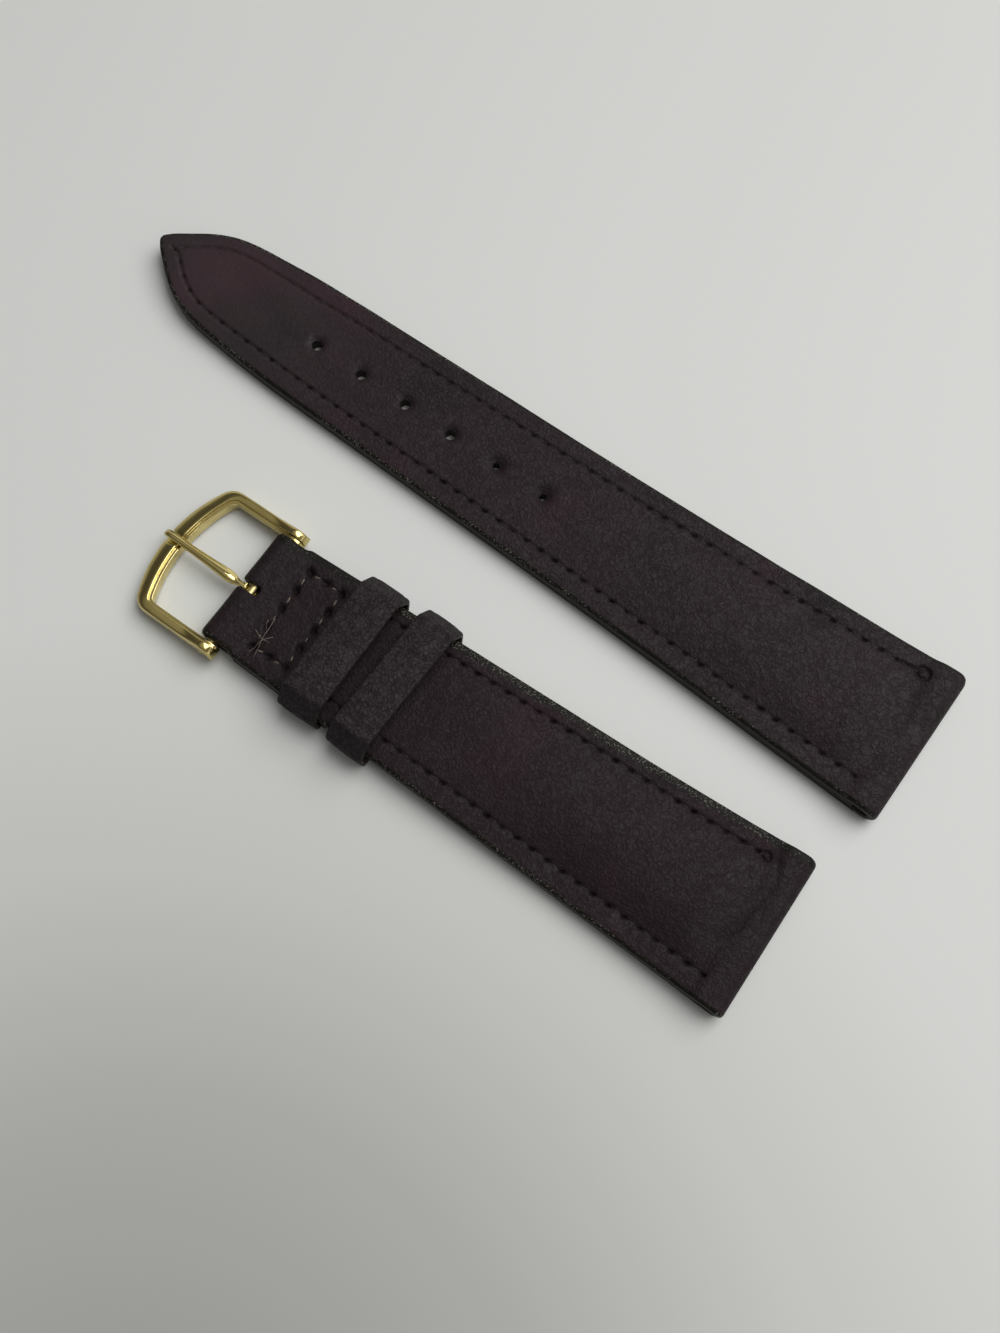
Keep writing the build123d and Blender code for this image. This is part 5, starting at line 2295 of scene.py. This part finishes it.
@dataclass
class BuckleFrame:
    """The plated frame: two arms on the bar and a broad bowed front."""

    side: BuckleSide
    inner_half: float = 7.65
    arm: float = 1.55
    half_height: float = 1.005
    eye: float = 1.55
    inner_corner: float = 8.7
    inner_front: float = 10.35
    outer_corner: float = 10.1
    outer_front: float = 12.75
    pin_hole: float = 0.46
    notch_half: float = 0.69
    notch_depth: float = 0.26
    front_fall: float = 0.17
    ledge: float = 0.48

    def rails(self) -> tuple[Array, Array]:
        """The inner and outer lines in plan, point for point, from one arm's tip to the other's."""
        outer_half = self.inner_half + self.arm
        inner = self.rail(self.inner_half, self.inner_corner, self.inner_front, 0.6)
        return inner, self.rail(outer_half, self.outer_corner, self.outer_front, 1.5)

    def rail(self, half: float, corner: float, front: float, reach: float) -> Array:
        """One edge of the frame in plan.

        Args:
            half: Half the width between the arms' faces.
            corner: How far forward its corners are.
            front: How far forward its middle is.
            reach: How far from a corner its bend starts.

        Returns:
            The line from one arm's tip to the other's.
        """
        arm = np.stack([np.linspace(-self.eye, corner - reach, 34), np.full(34, half)], 1)
        bow = (half**2 + (front - corner) ** 2) / (2 * (front - corner))
        turn = math.asin(half / bow) - reach / bow
        angles = np.linspace(turn, 0, 26)
        bar = np.stack([front - bow + bow * np.cos(angles), bow * np.sin(angles)], 1)
        t = np.linspace(0, 1, 11)[1:-1]
        bend = np.outer((1 - t) ** 2, arm[-1]) + np.outer(2 * t * (1 - t), (corner, half))
        bend += np.outer(t**2, bar[0])
        one = np.concatenate([arm, bend, bar])
        return np.concatenate([one, (one * [1, -1])[::-1][1:]])

    def section(self, width: float) -> Array:
        """The bar's section: in from the inner edge, and up.

        Args:
            width: How wide it is there.

        Returns:
            The section's points, in order round it.
        """
        h = self.half_height
        ledge = self.ledge
        broad = width - ledge
        return np.array(
            [
                (0.24, -h),
                (0.08, -h + 0.10),
                (0.01, -h + 0.30),
                (0.0, 0.15),
                (0.0, 0.52),
                (0.015, 0.61),
                (0.045, 0.65),
                (0.09, 0.66),
                (0.14, 0.66),
                (0.35, 0.655),
                (0.40, 0.657),
                (0.425, 0.68),
                (0.437, 0.74),
                (0.445, 0.86),
                (0.457, 0.93),
                (ledge, 0.967),
                (ledge + broad * 0.07, 0.987),
                (ledge + broad * 0.20, 0.998),
                (ledge + broad * 0.42, h),
                (ledge + broad * 0.60, h - 0.005),
                (ledge + broad * 0.76, h - 0.035),
                (ledge + broad * 0.89, h - 0.14),
                (width - 0.06, h - 0.34),
                (width, 0.35),
                (width + 0.01, -0.1),
                (width - 0.02, -0.45),
                (width - 0.10, -h + 0.18),
                (width - 0.26, -h),
            ]
        )

    def build(self, wear: Wardrobe) -> None:
        """Sweep the frame and bore its eyes.

        Args:
            wear: The materials.
        """
        inner, outer = self.rails()
        rings = []
        for a, b in zip(inner, outer):
            width = float(np.linalg.norm(b - a))
            way = (b - a) / width
            shape = self.section(width)
            forward = a[0]
            if forward < 0:
                tall = math.sqrt(max(self.eye**2 - forward**2, 0.012)) / self.half_height
            else:
                tall = 1 + (self.eye / self.half_height - 1) * max(0.0, 1 - forward / 3.2) ** 1.5
            plan = a + np.outer(shape[:, 0], way)
            up = shape[:, 1] * tall
            on_front = min(max((forward - self.inner_corner + 1.4) / 1.8, 0.0), 1.0)
            fall = self.front_fall * on_front * np.maximum(shape[:, 0] - self.ledge, 0)
            up = np.where(up > 0.3, up - fall, up)
            if abs(a[1]) < 3:
                dip = self.notch_depth * math.exp(-((a[1] / self.notch_half) ** 4))
                up = np.where(up > 0.3, up - dip, up)
            rings.append(np.stack([plan[:, 0], plan[:, 1], up], 1))
        count = len(rings[0])
        faces = []
        for k in range(len(rings) - 1):
            ids = np.arange(count) + k * count
            ahead = np.roll(ids, -1)
            faces.append(np.stack([ids, ids + count, ahead + count, ahead], 1))
        face_list = [tuple(f) for f in np.concatenate(faces)]
        face_list += [tuple(np.arange(count)), tuple((np.arange(count) + (len(rings) - 1) * count)[::-1])]
        points = self.side.world(np.concatenate(rings))
        piece = build_object("buckle_frame_plated", points, face_list, [0] * len(face_list), [wear.plate])
        self.bore(piece)
        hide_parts("buckle_frame")
        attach(piece, Body.FRAME.value)
        LOG.info("%s: %d faces", piece.name, len(piece.data.polygons))

    def bore(self, piece: Piece) -> None:
        """Cut the pins' holes through the arms.

        Args:
            piece: The frame.
        """
        count, reach = 32, 12.0
        turn = full_turn(count)
        ring = np.stack(
            [self.pin_hole * np.cos(turn), np.full(count, -reach), self.pin_hole * np.sin(turn)], 1
        )
        points, faces = skin_rings([ring, ring * [1, -1, 1]])
        tool = build_object(
            "bore_tool", self.side.world(points), faces, [0] * len(faces), [piece.data.materials[0]]
        )
        cut = piece.modifiers.new("bore", "BOOLEAN")
        cut.operation = "DIFFERENCE"
        cut.solver = "EXACT"
        cut.object = tool
        bake_modifiers(piece)
        bpy.data.objects.remove(tool)


def bake_modifiers(piece: Piece) -> None:
    """Turn a piece's modifiers into its mesh.

    Args:
        piece: The piece.
    """
    graph = bpy.context.evaluated_depsgraph_get()
    graph.update()
    done = bpy.data.meshes.new_from_object(piece.evaluated_get(graph))
    piece.modifiers.clear()
    piece.data = done


@dataclass
class BuckleTongue:
    """The plated tongue: a loop on the bar, a swollen root and a blade that rests on the front."""

    side: BuckleSide
    loop_radius: float = 1.27
    loop_inner: float = 0.86
    loop_half: float = 0.56
    sides: int = 24

    def stations(self) -> Array:
        """Forward place, half width, underside and top along the tongue."""
        return np.array(
            [
                (0.55, 0.46, 0.62, 1.16),
                (1.0, 0.38, 0.42, 0.98),
                (1.5, 0.37, 0.14, 0.80),
                (2.0, 0.42, -0.02, 0.66),
                (2.35, 0.52, -0.06, 0.68),
                (2.7, 0.66, -0.04, 0.84),
                (3.1, 0.74, 0.02, 1.02),
                (3.7, 0.74, 0.08, 1.10),
                (4.5, 0.69, 0.16, 1.14),
                (5.6, 0.62, 0.26, 1.18),
                (6.8, 0.56, 0.36, 1.23),
                (8.0, 0.51, 0.46, 1.29),
                (9.2, 0.48, 0.57, 1.36),
                (10.2, 0.48, 0.68, 1.43),
                (11.0, 0.50, 0.775, 1.50),
                (11.9, 0.51, 0.785, 1.545),
                (12.5, 0.50, 0.79, 1.50),
                (12.78, 0.44, 0.82, 1.36),
                (12.9, 0.30, 0.95, 1.18),
            ]
        )

    def build(self, wear: Wardrobe) -> None:
        """Loft the blade and turn its loop.

        Args:
            wear: The materials.
        """
        table = self.stations()
        fine = np.linspace(0, len(table) - 1, 80)
        spread = np.stack(
            [np.interp(fine, range(len(table)), smooth_column(table[:, k])) for k in range(4)], 1
        )
        rings = []
        turn = full_turn(self.sides)
        a, b = squared(np.cos(turn), 0.55), squared(np.sin(turn), 0.62)
        for forward, half, low, high in spread:
            facet = np.where(b > 0, 1 - 0.28 * np.clip(b, 0, 1) ** 2, 1.0)
            y = half * a * facet
            lean = 0.62 * np.maximum(y - 0.02, 0) * np.clip(b, 0, 1)
            z = (low + high) / 2 + (high - low) / 2 * b - lean
            rings.append(np.stack([np.full(self.sides, forward), y, z], 1))
        verts, faces = skin_rings(rings)
        loop_rings = []
        middle = (self.loop_radius + self.loop_inner) / 2
        thick = (self.loop_radius - self.loop_inner) / 2
        a, b = squared(np.cos(turn), 0.75), squared(np.sin(turn), 0.75)
        for angle in np.linspace(math.radians(62), math.radians(-200), 40):
            r = middle + thick * b
            loop_rings.append(np.stack([r * math.cos(angle), self.loop_half * a, r * math.sin(angle)], 1))
        loop_verts, loop_faces = skin_rings(loop_rings)
        faces += [tuple(i + len(verts) for i in f) for f in loop_faces]
        points = self.side.world(np.concatenate([verts, loop_verts]))
        piece = build_object("buckle_tongue_plated", points, faces, [0] * len(faces), [wear.plate])
        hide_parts("buckle_tongue")
        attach(piece, Body.TONGUE.value)
        LOG.info("%s: %d faces", piece.name, len(piece.data.polygons))


def squared(values: Array, power: float) -> Array:
    """Push values from -1 to 1 outwards, which squares a round section."""
    return np.sign(values) * np.abs(values) ** power


def smooth_column(values: Array) -> Array:
    """Ease a column of sizes a little, with its ends kept."""
    eased = values.copy()
    eased[1:-1] = values[1:-1] * 0.7 + (values[:-2] + values[2:]) * 0.15
    return eased


# Studio


@dataclass
class Studio:
    """The table, the light and the camera at the photograph's view."""

    camera_mm: tuple[float, float, float] = (38.626, -41.335, 143.455)
    camera_turn: tuple[float, float, float] = (17.5789, 0.5529, 34.8034)
    lens: float = 35.109
    bright_side: tuple[float, float, float] = (0.66, 0.60, 0.45)
    backdrop: str = "#d6d7d3"

    def build(self) -> None:
        """Set up the table, the lamps, the world and the camera."""
        self.table()
        self.lamp("key_softbox", (0.24, 0.42, 0.72), 0.8, 7.4)
        self.world()
        self.camera()

    def table(self) -> None:
        """Lay the table under the strap."""
        corners = [(-1.2, -1.2, 0.0), (1.2, -1.2, 0.0), (1.2, 1.2, 0.0), (-1.2, 1.2, 0.0)]
        finish = TableTop("white_laminate", "#cccdca", 0.6).make()
        below = [0, 0, 0.00001]
        floor = build_object("table", np.array(corners) - below, [(0, 1, 2, 3)], [0], [finish])
        floor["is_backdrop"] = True

    def lamp(self, name: str, place: tuple[float, float, float], size: float, power: float) -> None:
        """Hang a softbox that faces the strap.

        Args:
            name: Its name.
            place: Where it hangs, in metres.
            size: How wide it is.
            power: Its power in watts.
        """
        light = bpy.data.lights.new(name, "AREA")
        light.shape = "SQUARE"
        light.size = size
        light.energy = power
        lamp = bpy.data.objects.new(name, light)
        lamp.location = place
        lamp.rotation_euler = (-Vector(place)).to_track_quat("-Z", "Y").to_euler()
        bpy.context.collection.objects.link(lamp)

    def world(self) -> None:
        """Light the room softly, most from one side.

        Metal mirrors another room, with a pale band low down, a dark one over it and a
        grey ceiling.
        """
        world = bpy.data.worlds.new("room")
        world.use_nodes = True
        tree = world.node_tree
        back = tree.nodes["Background"]
        way = add_node(tree, "TexCoord").outputs["Generated"]
        height = add_node(tree, "SeparateXYZ", {"Vector": way}).outputs["Z"]
        stops = [
            (0.0, "#76726a"), (0.16, "#fffdf6"), (0.40, "#d0cbc0"), (0.56, "#6e6b64"), (0.65, "#56544c")
        ]
        mirror = ramp(tree, height, [*stops, (0.70, "#5b5950"), (0.78, "#9d998e"), (1.0, "#a39f93")])
        facing = {0: way, 1: self.bright_side}
        towards = add_node(tree, "VectorMath", facing, operation="DOT_PRODUCT").outputs["Value"]
        even = ramp(tree, towards, [(0.0, "#6c6c6e"), (0.75, "#f8f8f6")])
        aside = add_node(tree, "MapRange", {"Value": towards, 1: -0.7, 2: 0.3, 3: 0.35, 4: 1.0}).outputs[0]
        mirror = add_node(tree, "VectorMath", {0: mirror, "Scale": aside}, operation="SCALE").outputs[0]
        path = add_node(tree, "LightPath")
        even = add_node(tree, "VectorMath", {0: even, "Scale": 0.66}, operation="SCALE").outputs[0]
        mirrored = {0: path.outputs["Is Glossy Ray"], 6: even, 7: mirror}
        light = add_node(tree, "Mix", mirrored, data_type="RGBA").outputs[2]
        direct = {0: path.outputs["Is Camera Ray"], 6: light, 7: linear(self.backdrop)}
        seen = add_node(tree, "Mix", direct, data_type="RGBA").outputs[2]
        feed(tree, back, {"Color": seen, "Strength": 1.0})
        bpy.context.scene.world = world

    def camera(self) -> None:
        """Stand the camera where the photograph was taken from."""
        data = bpy.data.cameras.new("view")
        data.sensor_fit = "VERTICAL"
        data.sensor_height = 36.0
        data.lens = self.lens
        data.clip_start = 0.005
        camera = bpy.data.objects.new("view", data)
        camera.location = [v * MM for v in self.camera_mm]
        camera.rotation_euler = Euler([math.radians(v) for v in self.camera_turn])
        bpy.context.collection.objects.link(camera)
        bpy.context.scene.camera = camera


def dress_kept_nodes(frame: dict, wear: Wardrobe) -> None:
    """Give the CAD nodes that stay their materials.

    Args:
        frame: The loaded frame.
        wear: The materials.
    """
    kept = {
        "short_padding": wear.felt,
        "long_padding": wear.felt,
        "free_keeper_stitch": wear.thread,
        "spring_bar_barrel": wear.steel,
        "spring_bar_plunger_left": wear.steel,
        "spring_bar_plunger_right": wear.steel,
        "spring_bar_spring": wear.wire,
    }
    for name, material in kept.items():
        node = frame["nodes"][name]
        for slot in node.material_slots:
            slot.material = material
        LOG.info("%s keeps its solid", name)


def main() -> dict:
    """Build the whole strap.

    Returns:
        The box of the frame and the box of the dressed strap.
    """
    logging.basicConfig(level=logging.INFO, format="%(name)s %(message)s")
    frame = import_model()
    sizes = {"cad": [list(corner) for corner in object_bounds()]}
    bpy.context.scene.view_settings.view_transform = "Standard"
    Studio().build()
    wear = Wardrobe()
    short_place = Placement(53.2676, -14.0864)
    long_place = Placement(56.3176, 13.4636, -1.83)
    ShortHalf(short_place, Body.SHORT).build(wear)
    LongHalf(long_place, Body.LONG).build(wear)
    Keeper(
        "fixed_keeper_loop",
        "fixed_keeper",
        Body.SHORT,
        short_place,
        start=54.21,
        width=5.4,
        half=8.28,
        floor=0.48,
        sole=0.9,
        seed=4,
    ).build(wear)
    Keeper(
        "free_keeper_loop",
        "free_keeper",
        Body.FREE_KEEPER,
        short_place,
        start=47.12,
        width=5.08,
        half=8.62,
        floor=0.0,
        sole=0.69,
        skew=-2.3,
        seed=9,
    ).build(wear)
    side = BuckleSide((-17.2224, -14.0864, 1.71))
    BuckleFrame(side).build(wear)
    BuckleTongue(side).build(wear)
    dress_kept_nodes(frame, wear)
    sizes["visual"] = [list(corner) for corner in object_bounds()]
    return sizes


if __name__ == "__main__":
    main()
